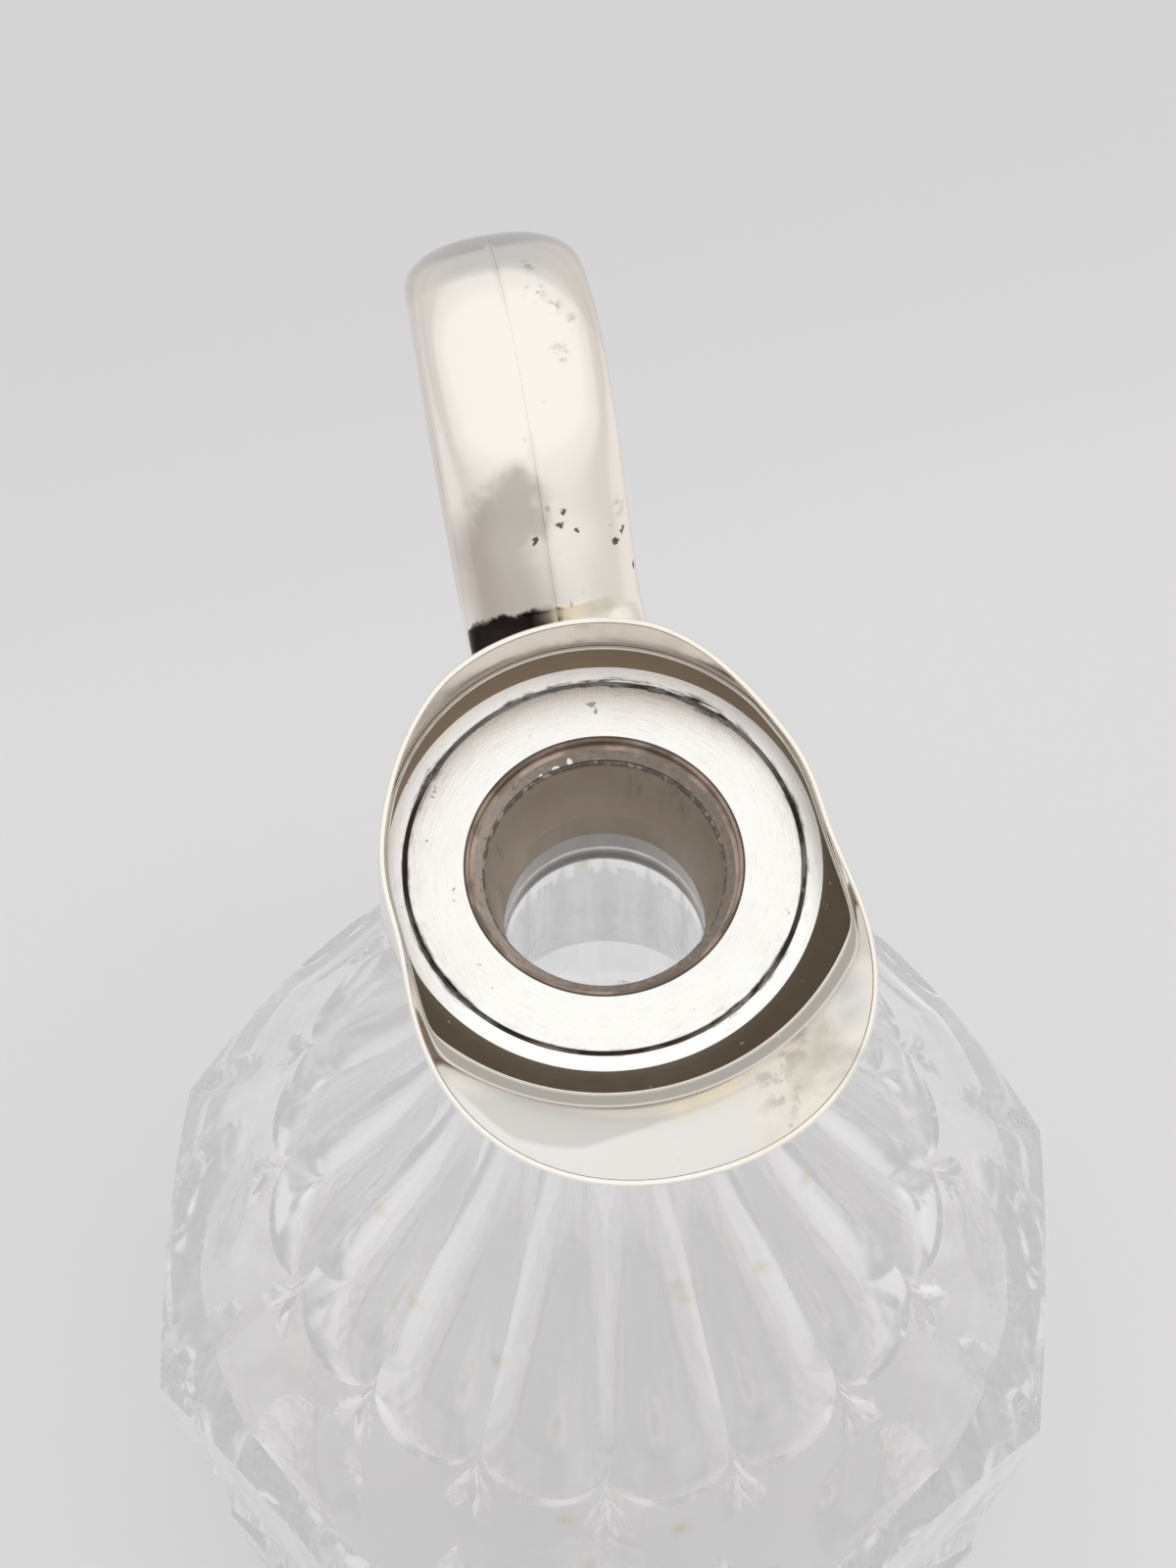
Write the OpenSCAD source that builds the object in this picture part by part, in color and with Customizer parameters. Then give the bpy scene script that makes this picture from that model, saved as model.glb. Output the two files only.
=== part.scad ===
// Claret jug: a cut-glass body with a silver-plated pouring mount.
// The origin is on the table under the middle of the neck. The spout points
// along -X, the handle along +X, and Z is up.

/* [Glass body] */
// Height of the mouth plate above the table
plate_h = 262; // [250:1:290]
// Height of the corners where the upright sides meet the shoulder
girdle_h = 114; // [100:1:122]
// Width across the narrow flats at the girdle
body_w = 125; // [116:1:134]
// How much narrower the body is at the foot than at the girdle
body_taper = 4; // [0:0.5:8]
// Chamfer round the foot
foot_chamfer = 1.5; // [0.5:0.5:3]
// Outside radius of the bare neck
neck_r = 17.5; // [16.5:0.25:18.5]
// Run-out of the curve between neck and shoulder
neck_sweep = 16; // [8:1:24]
// Radius of the round inside of the body
chamber_r = 53; // [45:0.5:55]
// Thickness of the glass floor
floor_t = 13; // [9:0.5:20]
// Thickness of the glass in the shoulder
shoulder_wall = 8; // [6:0.5:10]
// Radius of the bore under the sleeve
bore_r = 11.3; // [10.5:0.1:11.5]
// Turn of the glass against the spout
glass_turn = -14; // [-45:0.1:45]

/* [Cutting on the glass] */
// Height of the lower ends of the petal flutes
petal_h = 154; // [140:1:165]
// Turn of the petals against the octagon, in eighths of a petal
petal_shift = 1; // [0:1:7]
// Length of a petal's round end
petal_round = 8; // [4:0.5:10]
// Depth of a flute at the middle of the shoulder
flute_depth = 2.2; // [1:0.1:3]
// Depth of a flute where it meets the neck band
flute_top_depth = 0.6; // [0.3:0.1:1]
// Depth of the oval thumbprints on the shoulder
oval_depth = 1.8; // [0.5:0.1:2.5]
// Half width of an oval thumbprint
oval_half_w = 10; // [7:0.5:12]
// Half height of an oval thumbprint
oval_half_h = 13; // [8:0.5:15]
// Height of the middle of the ovals above the girdle
oval_rise = 22; // [18:0.5:25]
// Height of the lower edge of the diamond band
diamond_low = 28; // [15:1:40]
// Height of the diamond band
diamond_band = 56; // [40:1:64]
// Depth of the grooves between the diamonds
diamond_depth = 1.7; // [0.5:0.1:2.5]
// Radius of the star cut under the foot
star_r = 38; // [25:1:44]
// Depth of the star cut at its middle
star_depth = 3.2; // [1:0.1:5]

/* [Mouth plate and sleeve] */
// Radius of the hole in the mouth plate
hole_r = 14.3; // [13.8:0.1:15]
// Thickness of the mouth plate
plate_t = 1; // [0.8:0.1:1.5]
// Radius of the turned groove in the plate
groove_r = 21.15; // [19:0.05:22]
// Width of the turned groove
groove_w = 0.5; // [0.3:0.1:0.8]
// Depth of the turned groove
groove_d = 0.4; // [0.2:0.1:0.6]
// Inside radius of the sleeve at its lower end
sleeve_r = 11.1; // [10.5:0.1:11.2]
// Inside radius of the sleeve at its mouth
sleeve_mouth_r = 12.8; // [12.4:0.1:13.2]
// Wall of the sleeve
sleeve_wall = 0.6; // [0.4:0.1:0.8]
// Depth of the sleeve's mouth below the plate's top
sleeve_top = 2.3; // [2:0.1:3]
// Depth at which the sleeve's taper ends
sleeve_taper_end = 12.9; // [10:0.1:15]
// Depth of the sleeve's lower end
sleeve_end = 17.9; // [16:0.1:22]

/* [Collar and neck band] */
// Outside radius of the collar at its top
collar_top_r = 24; // [24:0.1:25]
// Outside radius of the collar where it meets the band
collar_low_r = 21.6; // [21:0.1:22.5]
// Sheet thickness of the collar
collar_wall = 0.8; // [0.7:0.1:1]
// Depth of the joint between collar and band
band_top = 21.5; // [20:0.1:24]
// Height of the neck band
band_height = 7.5; // [6.5:0.1:9]
// Radius of the bead on the band
bead_r = 0.9; // [0.5:0.1:1.2]

/* [Liner and spout] */
// Inside radius of the liner's wall
liner_r = 23.1; // [22.8:0.1:23.1]
// Height of the liner above the plate
liner_h = 4.7; // [4:0.1:4.8]
// How far the liner's wall leans out under the spout
liner_flare = 3.9; // [3:0.1:4.5]
// Width of the ledge between liner and shell under the spout
ledge_w = 1.6; // [1:0.1:3]
// Sheet thickness of the liner
liner_wall = 0.3; // [0.2:0.05:0.3]
// Reach of the lip from the axis
lip_reach = 38; // [34:0.1:44]
// Height of the lip above the plate
lip_h = 9; // [8:0.1:12]
// Height of the rim at the two sides
side_h = 4.6; // [4.4:0.1:8]
// Height of the rim over the handle
back_h = 9.8; // [8:0.1:12]
// Half of the angle that the spout takes up
lip_half_angle = 92; // [72:1:95]
// How far the rim is drawn in at its two sides
side_pinch = 0.5; // [0:0.1:0.6]
// Turn of the spout against the handle
spout_turn = 4.4; // [-8:0.1:8]
// Sheet thickness of the spout shell
shell_wall = 0.5; // [0.4:0.05:0.5]
// Radius of the wire along the rim
rim_wire_r = 0.35; // [0.3:0.05:0.5]

/* [Handle] */
// Height of the handle's root above the plate
root_h = 7.3; // [6:0.1:8]
// Rise of the handle above the plate
handle_rise = 28; // [22:0.1:34]
// Reach of the handle from the axis
handle_reach = 69; // [64:0.5:74]
// Drop of the handle below the plate
handle_drop = 64; // [56:0.5:75]
// Width of the strap at its root
root_w = 19.2; // [15:0.1:20]
// Width of the strap at its crown
crown_w = 19.4; // [16:0.1:22]
// Width of the strap at its lowest point
low_w = 13; // [10:0.1:16]
// Width of the strap at its foot
foot_w = 8.5; // [6:0.1:12]
// Thickness of the half-round strap
strap_t = 6.6; // [5:0.1:8]
// Thickness of the strap at its foot
foot_t = 3.6; // [2.5:0.1:4.2]

/* [Hidden] */

// Clearance between pieces that are pressed or cemented together
fit = 0.1;
// Clearance where the handle is soldered on
solder_gap = 0.15;
// Clearance between the shell's edge and its wire
wire_gap = 0.25;
// How far the glass neck keeps inside the bare neck's radius under the band
neck_step = 0.3;
// Width of the ground chamfer at the mouth of the glass
mouth_chamfer = 1.7;

flutes = 16;
flute_steps = 8;
glass_steps = flutes * flute_steps;
// The corners stand on the seventh of the 128 directions from a narrow flat
corner_a = 7 * 360 / glass_steps;
corner_r = body_w / 2 / cos(corner_a);
// Slope of the conical shoulder, radius gained for each millimetre down
shoulder_slope = 0.53;

glass_top = plate_h - plate_t - fit;
glass_neck_r = neck_r - neck_step;
band_end = band_top + band_height;
band_bore_r = glass_neck_r + 0.2;
plate_r = collar_top_r - collar_wall;
shell_mid_r = collar_top_r - shell_wall / 2;

silver = [0.86, 0.85, 0.82];
old_silver = [0.45, 0.41, 0.36];
crystal = [0.80, 0.86, 0.88, 0.55];

function flat(lists) = [for (l = lists) for (x = l) x];
function smooth(x) = let (t = min(max(x, 0), 1)) t * t * (3 - 2 * t);
function mix(a, b, t) = a + (b - a) * t;
function polar(r, a, z) = [r * cos(a), r * sin(a), z];

// A skin through rings of points. The rings run anticlockwise seen from the
// end of the stack; crease(j, i) says which way a square is split in two.
module loft(rings, closed = false, crease = function(j, i) false) {
    n = len(rings[0]);
    m = len(rings);
    middles = closed ? [] : [ring_middle(rings[0]), ring_middle(rings[m - 1])];
    sides = [for (j = [0:m - (closed ? 1 : 2)]) for (i = [0:n - 1])
        let (a = j * n + i, b = j * n + (i + 1) % n)
        let (d = ((j + 1) % m) * n + i, c = ((j + 1) % m) * n + (i + 1) % n)
        each crease(j, i) ? [[a, d, b], [b, d, c]] : [[a, c, b], [a, d, c]]];
    caps = closed ? [] : [for (i = [0:n - 1]) each [
        [m * n, i, (i + 1) % n],
        [m * n + 1, (m - 1) * n + (i + 1) % n, (m - 1) * n + i]]];
    polyhedron(points = concat(flat(rings), middles), faces = concat(sides, caps));
}
function ring_middle(ring, k = 0, total = [0, 0, 0]) =
    k == len(ring) ? total / len(ring) : ring_middle(ring, k + 1, total + ring[k]);

// Outline of the octagon: narrow flats at 0, 90, 180 and 270 degrees, and
// wider ones between them
function from_flat(a) = abs((a + 45 + 360) % 90 - 45);
function octagon_r(a, w) =
    let (b = from_flat(a), wide = w / 2 * (1 + tan(corner_a)) / sqrt(2))
    b <= corner_a + 0.001 ? w / 2 / cos(b) : wide / cos(45 - b);

// Neck and shoulder: a cone that eases into the neck along a hyperbola
shoulder_top = girdle_h + cone_drop(corner_r);
function cone_drop(r) =
    let (y = (r - neck_r) / shoulder_slope) y - neck_sweep * neck_sweep / 4 / y;
function shoulder_r(z) =
    let (u = shoulder_top - z)
    neck_r + shoulder_slope / 2 * (u + sqrt(u * u + neck_sweep * neck_sweep));

// Place across a flute: -1 and 1 are its ridges and 0 is its middle
function across(i) =
    ((i + flute_steps - petal_shift) % flute_steps) / (flute_steps / 2) - 1;
function scoop(i) = 1 - pow(across(i), 2);
function shoulder_edge(a) = shoulder_top - cone_drop(octagon_r(a, body_w));
function petal_edge(i) = petal_h + petal_round * (1 - sqrt(1 - pow(across(i), 2)));

// Depth of the oval thumbprint on the face that direction a belongs to
function oval(a, z) =
    let (b = from_flat(a), middle = b <= corner_a ? 0 : 45)
    let (x = (b - middle) * PI / 180 * shoulder_r(z) / oval_half_w)
    let (y = (z - girdle_h - oval_rise) / oval_half_h)
    oval_depth * max(0, 1 - x * x - y * y);

// Pyramids between crossed grooves, on a lattice of half steps
function to_even(x) = let (m = (x % 4 + 4) % 4) 1 - abs(m / 2 - 1);
function diamond(i, j) = min(to_even(i + j), to_even(i - j));

function side_w(z) = body_w - body_taper * (1 - z / girdle_h);
function direction(i) = 360 * i / glass_steps;
function glass_ring(r_of, z_of) = [for (i = [0:glass_steps - 1])
    let (a = direction(i)) polar(r_of(i, a), a, z_of(i, a))];
function round_ring(r, z) = glass_ring(function(i, a) r, function(i, a) z);

foot_rings = [
    glass_ring(function(i, a) star_r * 0.4,
        function(i, a) star_depth * (0.85 - 0.35 * abs(across(i)))),
    glass_ring(function(i, a) star_r * 0.85,
        function(i, a) star_depth * 0.5 * (1 - abs(across(i)))),
    round_ring(star_r, 0),
    glass_ring(function(i, a) octagon_r(a, side_w(0) - 2 * foot_chamfer), function(i, a) 0),
    glass_ring(function(i, a) octagon_r(a, side_w(foot_chamfer)), function(i, a) foot_chamfer)];

diamond_rows = 8;
side_rings = [for (j = [0:diamond_rows])
    let (z = diamond_low + diamond_band * j / diamond_rows)
    let (inner = j > 0 && j < diamond_rows)
    glass_ring(function(i, a) octagon_r(a, side_w(z))
        - (inner ? diamond_depth * (1 - diamond(i, j)) : 0), function(i, a) z)];

plain_rows = 4;
plain_rings = [for (j = [0:plain_rows - 1])
    glass_ring(
        function(i, a) let (z = mix(shoulder_edge(a), petal_edge(i), j / plain_rows))
            shoulder_r(z) - oval(a, z),
        function(i, a) mix(shoulder_edge(a), petal_edge(i), j / plain_rows))];

flute_rows = [0, 0.07, 0.18, 0.38, 0.66, 1];
flute_top = plate_h - band_end - 4;
flute_rings = [for (v = flute_rows)
    let (swell = sqrt(1 - pow(1 - min(v / 0.2, 1), 2)))
    let (deep = mix(flute_depth, flute_top_depth, smooth(v)) * swell)
    glass_ring(
        function(i, a) shoulder_r(mix(petal_edge(i), flute_top, v)) - deep * scoop(i),
        function(i, a) mix(petal_edge(i), flute_top, v))];

neck_rings = [
    round_ring(shoulder_r(plate_h - band_end - 2), plate_h - band_end - 2),
    round_ring(glass_neck_r, plate_h - band_end - neck_step),
    round_ring(glass_neck_r, glass_top)];

// The bore has a ground chamfer, the sleeve's seat and a step below it
bore_rings = [
    round_ring(sleeve_mouth_r + sleeve_wall + mouth_chamfer, glass_top),
    round_ring(sleeve_mouth_r + sleeve_wall + fit, plate_h - sleeve_top - fit),
    round_ring(sleeve_r + sleeve_wall + fit, plate_h - sleeve_taper_end),
    round_ring(sleeve_r + sleeve_wall + fit, plate_h - sleeve_end - fit),
    round_ring(bore_r, plate_h - sleeve_end - fit - 0.01)];

bore_end = shoulder_top - cone_drop(bore_r + shoulder_wall);
chamber_top = shoulder_top - cone_drop(chamber_r + shoulder_wall);
chamber_rings = [
    for (v = [0, 0.25, 0.55, 1])
        let (z = mix(bore_end, chamber_top, v)) round_ring(shoulder_r(z) - shoulder_wall, z),
    round_ring(chamber_r - 1.5, floor_t + 10),
    round_ring(chamber_r - 5, floor_t + 3),
    round_ring(chamber_r - 12, floor_t)];

side_first = len(foot_rings);
module glass_body() {
    color(crystal)
    rotate([0, 0, glass_turn])
    loft(concat(foot_rings, side_rings, plain_rings, flute_rings, neck_rings, bore_rings,
        chamber_rings),
        crease = function(j, i) (j >= side_first && j < side_first + diamond_rows)
            ? ((i + j - side_first + 1) % 4 == 0) : false);
}

// Tapered metal sleeve that lines the mouth of the bore
module neck_sleeve() {
    color(old_silver)
    translate([0, 0, plate_h])
    rotate_extrude($fn = 96)
    polygon([[sleeve_r, -sleeve_end], [sleeve_r + sleeve_wall, -sleeve_end],
        [sleeve_r + sleeve_wall, -sleeve_taper_end],
        [sleeve_mouth_r + sleeve_wall, -sleeve_top],
        [sleeve_mouth_r, -sleeve_top], [sleeve_r, -sleeve_taper_end]]);
}

// Outside of the collar: a hollow curve from the band up to the plain top
collar_rim = 3;
collar_steps = 8;
function collar_curve(inset, low, high) = [for (k = [0:collar_steps])
    let (t = k / collar_steps, z = mix(low, high, t))
    let (s = (z + band_top) / (band_top - collar_rim))
    [mix(collar_low_r, collar_top_r, pow(min(max(s, 0), 1), 1.6)) - inset, z]];
function backwards(list) = [for (k = [len(list) - 1:-1:0]) list[k]];

// Lip of the band that closes the space round the neck
band_lip_low = -band_end + 0.6;
band_lip = 1.8;
band_in_r = collar_low_r - 2 * collar_wall;

module neck_cement() {
    bottom = band_lip_low + band_lip + fit;
    low = -band_top + 0.4;
    high = -plate_t - fit;
    color("gainsboro")
    translate([0, 0, plate_h])
    rotate_extrude($fn = 96)
    polygon(concat([[glass_neck_r + fit, high], [glass_neck_r + fit, bottom],
            [band_in_r - fit, bottom], [band_in_r - fit, low]],
        collar_curve(collar_wall + fit, low, -collar_rim - plate_t),
        [[collar_top_r - 2 * collar_wall - fit, high]]));
}

module collar_tube() {
    color(silver)
    translate([0, 0, plate_h])
    rotate_extrude($fn = 96)
    polygon(concat(collar_curve(0, -band_top, -collar_rim),
        [[collar_top_r, 0], [plate_r + fit, 0], [plate_r + fit, -plate_t - fit],
            [collar_top_r - 2 * collar_wall, -plate_t - fit]],
        backwards(collar_curve(collar_wall, -band_top, -collar_rim - plate_t))));
}

module neck_band() {
    mouth_bevel = 0.5;
    color(silver)
    translate([0, 0, plate_h])
    rotate_extrude($fn = 96)
    union() {
        polygon([[band_bore_r + mouth_bevel, -band_end], [collar_low_r, -band_end],
            [collar_low_r, -band_top], [band_in_r, -band_top],
            [band_in_r, band_lip_low + band_lip],
            [band_bore_r, band_lip_low + band_lip], [band_bore_r, band_lip_low]]);
        translate([collar_low_r, -band_end + bead_r]) circle(r = bead_r, $fn = 24);
    }
}

module mouth_plate() {
    color("white")
    translate([0, 0, plate_h])
    rotate_extrude($fn = 96)
    difference() {
        translate([hole_r, -plate_t]) square([plate_r - hole_r, plate_t]);
        translate([groove_r - groove_w / 2, -groove_d]) square([groove_w, 1]);
    }
}

// The rim seen from above: a round wall that runs out into the lip.
// Angles are measured from the spout.
rim_steps = 72;
// Exponents of the lip's outline: fullness of its front and softness of its ends
lip_fullness = 2.4;
lip_softness = 3;
// Angle over which the rim sinks from the lip to the sides, and the angles
// between which it rises again towards the handle
lip_sink = 75;
back_start = 110;
back_ramp = 45;
// The sides are drawn in between these angles, fully at the middle two
pinch_start = 40;
pinch_full = 80;
pinch_fade = 105;
pinch_end = 165;
function off_spout(a) = abs((a + 180) % 360 - 180);
function spout_share(a) = pow(max(0, 1 - pow(off_spout(a) / lip_half_angle, lip_fullness)),
    lip_softness);
function pinch_share(a) =
    smooth((off_spout(a) - pinch_start) / (pinch_full - pinch_start))
    * smooth((pinch_end - off_spout(a)) / (pinch_end - pinch_fade));
function rim_r(a) =
    mix(shell_mid_r - side_pinch * pinch_share(a), lip_reach, spout_share(a));
function rim_h(a) = side_h + (lip_h - side_h) * smooth(1 - off_spout(a) / lip_sink)
    + (back_h - side_h) * smooth((off_spout(a) - back_start) / back_ramp);

// Share of the flare in one direction: whole under the spout, none at the sides
flare_ramp = 25;
flare_margin = 4;
function flare_share(a) = smooth((lip_half_angle - flare_margin - off_spout(a)) / flare_ramp);
// The ledge ends at this share of the way to the rim at most
ledge_limit = 0.85;
// The ledge keeps this far below the rim, where the rim is low
ledge_drop = 0.6;
function ledge_h(a) = min(liner_h, rim_h(a) - ledge_drop);
// Middle of the sheet at the height of the ledge
flare_r = shell_mid_r + liner_flare + ledge_w - shell_wall / 2;
function ledge_mid_r(a) = min(mix(shell_mid_r, flare_r, flare_share(a)),
    mix(shell_mid_r, rim_r(a), ledge_limit));

// The sheet of the spout in one direction: two joined curves, from the collar to
// the ledge's edge and on to the rim, steep at the collar and nearly level at the lip
function unit(v) = v / norm(v);
function hermite(p, q, start, end, t) =
    (1 + 2 * t) * pow(1 - t, 2) * p + t * pow(1 - t, 2) * start
    + t * t * (3 - 2 * t) * q + t * t * (t - 1) * end;
function sheet_point(a, u) =
    let (low = [shell_mid_r, 0], middle = [ledge_mid_r(a), ledge_h(a)], high = [rim_r(a), rim_h(a)])
    let (rise = middle - low, run = high - middle, along = unit(unit(rise) + unit(run)))
    u < 0.5 ? hermite(low, middle, rise, along * norm(rise), 2 * u)
    : hermite(middle, high, along * norm(run), run, 2 * u - 1);
function sheet_normal(a, u) =
    let (d = sheet_point(a, min(u + 0.01, 1)) - sheet_point(a, min(u + 0.01, 1) - 0.02))
    u == 0 ? [1, 0] : [d[1], -d[0]] / norm(d);
function place(p, a) = polar(p[0], 180 + spout_turn + a, plate_h + p[1]);

sheet_rows = [0, 0.25, 0.45, 0.58, 0.78, 1];
module spout_shell() {
    color(silver)
    loft([for (k = [0:rim_steps - 1])
        let (a = 360 * k / rim_steps)
        concat(
            [for (u = sheet_rows)
                place(sheet_point(a, u) - sheet_normal(a, u) * shell_wall / 2, a)],
            [for (u = backwards(sheet_rows))
                place(sheet_point(a, u) + sheet_normal(a, u) * shell_wall / 2, a)])],
        closed = true);
}

wire_sides = 5;
module rim_wire() {
    color(silver)
    loft([for (k = [0:rim_steps - 1])
        let (a = 360 * k / rim_steps, n = sheet_normal(a, 1), t = [-n[1], n[0]])
        let (middle = sheet_point(a, 1) + t * (rim_wire_r + wire_gap))
        [for (s = [0:wire_sides - 1])
            let (b = -360 * s / wire_sides)
            place(middle + rim_wire_r * (cos(b) * n + sin(b) * t), a)]],
        closed = true);
}

// Inner pan of the spout: a wall on the plate and a narrow ledge out to the shell
liner_steps = 64;
// The wall leans out slowly at first, to stay clear of the shell
liner_lean = 0.4;
module liner_cup() {
    color(old_silver)
    loft([for (k = [0:liner_steps - 1])
        let (a = 360 * k / liner_steps, ledge_r = ledge_mid_r(a) - shell_wall / 2 - 2 * fit)
        let (top_r = min(liner_r + liner_flare * flare_share(a), ledge_r - liner_wall - fit))
        let (lean_r = mix(liner_r, top_r, liner_lean), high = ledge_h(a), low = high - liner_wall)
        let (under_r = max(ledge_r - liner_wall, top_r + liner_wall + fit / 2))
        [for (p = [[liner_r, 0], [lean_r, high / 2], [top_r, high], [ledge_r, high],
            [under_r, low], [top_r + liner_wall, low],
            [lean_r + liner_wall, high / 2], [liner_r + liner_wall, 0]]) place(p, a)]],
        closed = true);
}

// The line along the outside of the strap, from its root over the crown and
// down to its foot on the neck band, as radius and height over the plate
root_r = collar_top_r + solder_gap;
foot_r = collar_low_r + solder_gap;
foot_h = -band_end + 2 * bead_r + 0.4;
crown_r = mix(root_r, handle_reach, 0.6);
low_r = handle_reach - 21.5;
strap_line = [
    [root_r, root_h],
    [mix(root_r, crown_r, 0.27), mix(root_h, handle_rise, 0.4)],
    [mix(root_r, crown_r, 0.58), mix(root_h, handle_rise, 0.81)],
    [crown_r, handle_rise],
    [mix(crown_r, handle_reach, 0.62), handle_rise - 3.4],
    [handle_reach - 1, handle_rise - 11.2],
    [handle_reach, handle_rise - 23],
    [handle_reach - 1, -handle_drop * 0.25],
    [handle_reach - 2.6, -handle_drop * 0.53],
    [handle_reach - 6.4, -handle_drop * 0.78],
    [handle_reach - 13, -handle_drop * 0.95],
    [low_r, -handle_drop],
    [mix(foot_r, low_r, 0.66), -handle_drop * 0.91],
    [mix(foot_r, low_r, 0.45), mix(foot_h, -handle_drop, 0.52)],
    [mix(foot_r, low_r, 0.25), mix(foot_h, -handle_drop, 0.21)],
    [foot_r, foot_h]];
strap_spans = len(strap_line) - 1;

// Curve through the points of the line, t counts its spans
function strap_knot(k) =
    k < 0 ? 2 * strap_line[0] - strap_line[1]
    : k > strap_spans ? 2 * strap_line[strap_spans] - strap_line[strap_spans - 1]
    : strap_line[k];
function strap_at(t) =
    let (k = min(floor(t), strap_spans - 1), s = t - k)
    let (p0 = strap_knot(k - 1), p1 = strap_knot(k), p2 = strap_knot(k + 1),
        p3 = strap_knot(k + 2))
    (2 * p1 + (p2 - p0) * s + (2 * p0 - 5 * p1 + 4 * p2 - p3) * s * s
        + (3 * p1 - 3 * p2 + p3 - p0) * s * s * s) / 2;
// Direction square to the line, towards the inside of the loop
function strap_inward(t) =
    let (d = strap_at(min(t + 0.05, strap_spans)) - strap_at(max(t - 0.05, 0)))
    [d[1], -d[0]] / norm(d);
function strap_w(t) =
    t < 4 ? mix(root_w, crown_w, smooth(t / 4))
    : t < 11 ? mix(crown_w, low_w, smooth((t - 4) / 7))
    : mix(low_w, foot_w, smooth((t - 11) / 4));
function strap_depth(t) = mix(strap_t, foot_t, smooth((t - 8) / (strap_spans - 8)));

// Half of the half-round section: place across it and depth below the crown line
section_steps = 6;
// Below 1 the top of the section is flatter than an ellipse
section_round = 0.85;
function section_point(k, t) =
    let (w = strap_w(t) / 2, d = strap_depth(t), b = 90 * k / section_steps)
    k <= section_steps
    ? [w * pow(sin(b), section_round), 0.8 * d * (1 - pow(cos(b), section_round))]
    : k == section_steps + 1 ? [w * 0.6, 0.95 * d]
    : [0, d];

// The two end rings lie on the round walls that they are soldered to
function strap_point(k, t, hand) =
    let (s = section_point(k, t), p = strap_at(t) + strap_inward(t) * s[1])
    let (x = t == 0 ? sqrt(root_r * root_r - s[0] * s[0])
        : t == strap_spans ? sqrt(foot_r * foot_r - s[0] * s[0]) : p[0])
    [x, hand * s[0], plate_h + p[1]];

module handle_half(hand) {
    steps = 2;
    rings = [for (q = [0:strap_spans * steps])
        let (ring = [for (k = [0:section_steps + 2]) strap_point(k, q / steps, hand)])
        hand > 0 ? ring : backwards(ring)];
    color(silver) loft(rings);
}
module handle_half_left() { handle_half(-1); }
module handle_half_right() { handle_half(1); }

glass_body();
neck_sleeve();
neck_cement();
mouth_plate();
collar_tube();
neck_band();
liner_cup();
spout_shell();
rim_wire();
handle_half_left();
handle_half_right();
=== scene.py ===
"""Claret jug of cut crystal with a silver-plated pouring mount, dressed for a render.

Sizes are in millimetres in the functions and become metres when a mesh is made.
The spout points along -X, the handle along +X, and Z is up.
"""

import bpy
import numpy as np
from bpy.props import FloatProperty, FloatVectorProperty, IntProperty, PointerProperty
from bpy.types import Operator, Panel, PropertyGroup
from mathutils import Matrix, Vector


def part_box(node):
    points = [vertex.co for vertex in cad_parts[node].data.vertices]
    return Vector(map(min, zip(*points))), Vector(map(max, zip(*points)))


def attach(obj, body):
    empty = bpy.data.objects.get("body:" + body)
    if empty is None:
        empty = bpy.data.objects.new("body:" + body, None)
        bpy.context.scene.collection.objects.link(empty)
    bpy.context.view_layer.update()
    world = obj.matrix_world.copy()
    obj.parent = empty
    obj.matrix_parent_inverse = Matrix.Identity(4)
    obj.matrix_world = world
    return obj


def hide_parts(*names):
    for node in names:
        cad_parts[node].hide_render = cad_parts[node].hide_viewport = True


bl_info = {
    "name": "Claret Jug",
    "version": (1, 0, 0),
    "blender": (4, 5, 0),
    "location": "View3D > Sidebar > Claret Jug",
    "description": "Builds a cut crystal claret jug with a silver-plated mount",
    "category": "Add Mesh",
}

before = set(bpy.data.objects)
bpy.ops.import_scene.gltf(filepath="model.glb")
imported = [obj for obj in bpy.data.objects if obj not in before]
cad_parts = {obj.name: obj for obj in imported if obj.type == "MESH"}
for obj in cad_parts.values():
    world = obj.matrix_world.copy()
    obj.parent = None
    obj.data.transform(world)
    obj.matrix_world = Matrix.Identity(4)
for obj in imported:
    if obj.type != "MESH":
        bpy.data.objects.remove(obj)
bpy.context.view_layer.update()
BODY = "root"
MM = 0.001


def lows(node):
    """Lowest corner of a CAD node in millimetres."""
    return np.array(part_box(node)[0]) / MM


def highs(node):
    """Highest corner of a CAD node in millimetres."""
    return np.array(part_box(node)[1]) / MM


PLATE_H = highs("mouth_plate")[2]
PLATE_T = PLATE_H - lows("mouth_plate")[2]
PLATE_R = highs("mouth_plate")[0]
COLLAR_R = highs("collar_tube")[0]
BAND_TOP = PLATE_H - lows("collar_tube")[2]
BAND_END = PLATE_H - lows("neck_band")[2]
SLEEVE_TOP = PLATE_H - highs("neck_sleeve")[2]
SLEEVE_END = PLATE_H - lows("neck_sleeve")[2]
SLEEVE_OUT = highs("neck_sleeve")[0]
LINER_H = highs("liner_cup")[2] - PLATE_H
BACK_H = highs("spout_shell")[2] - PLATE_H
LIP_REACH = -lows("spout_shell")[0]
HANDLE_REACH = highs("handle_half_left")[0]
HANDLE_RISE = highs("handle_half_left")[2] - PLATE_H
HANDLE_DROP = PLATE_H - lows("handle_half_left")[2]
HANDLE_W = -2 * lows("handle_half_left")[1]


def over(height):
    """Metres above the table of a height in millimetres over the plate."""
    return (PLATE_H + height) * MM


# Sizes that a user would change

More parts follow.
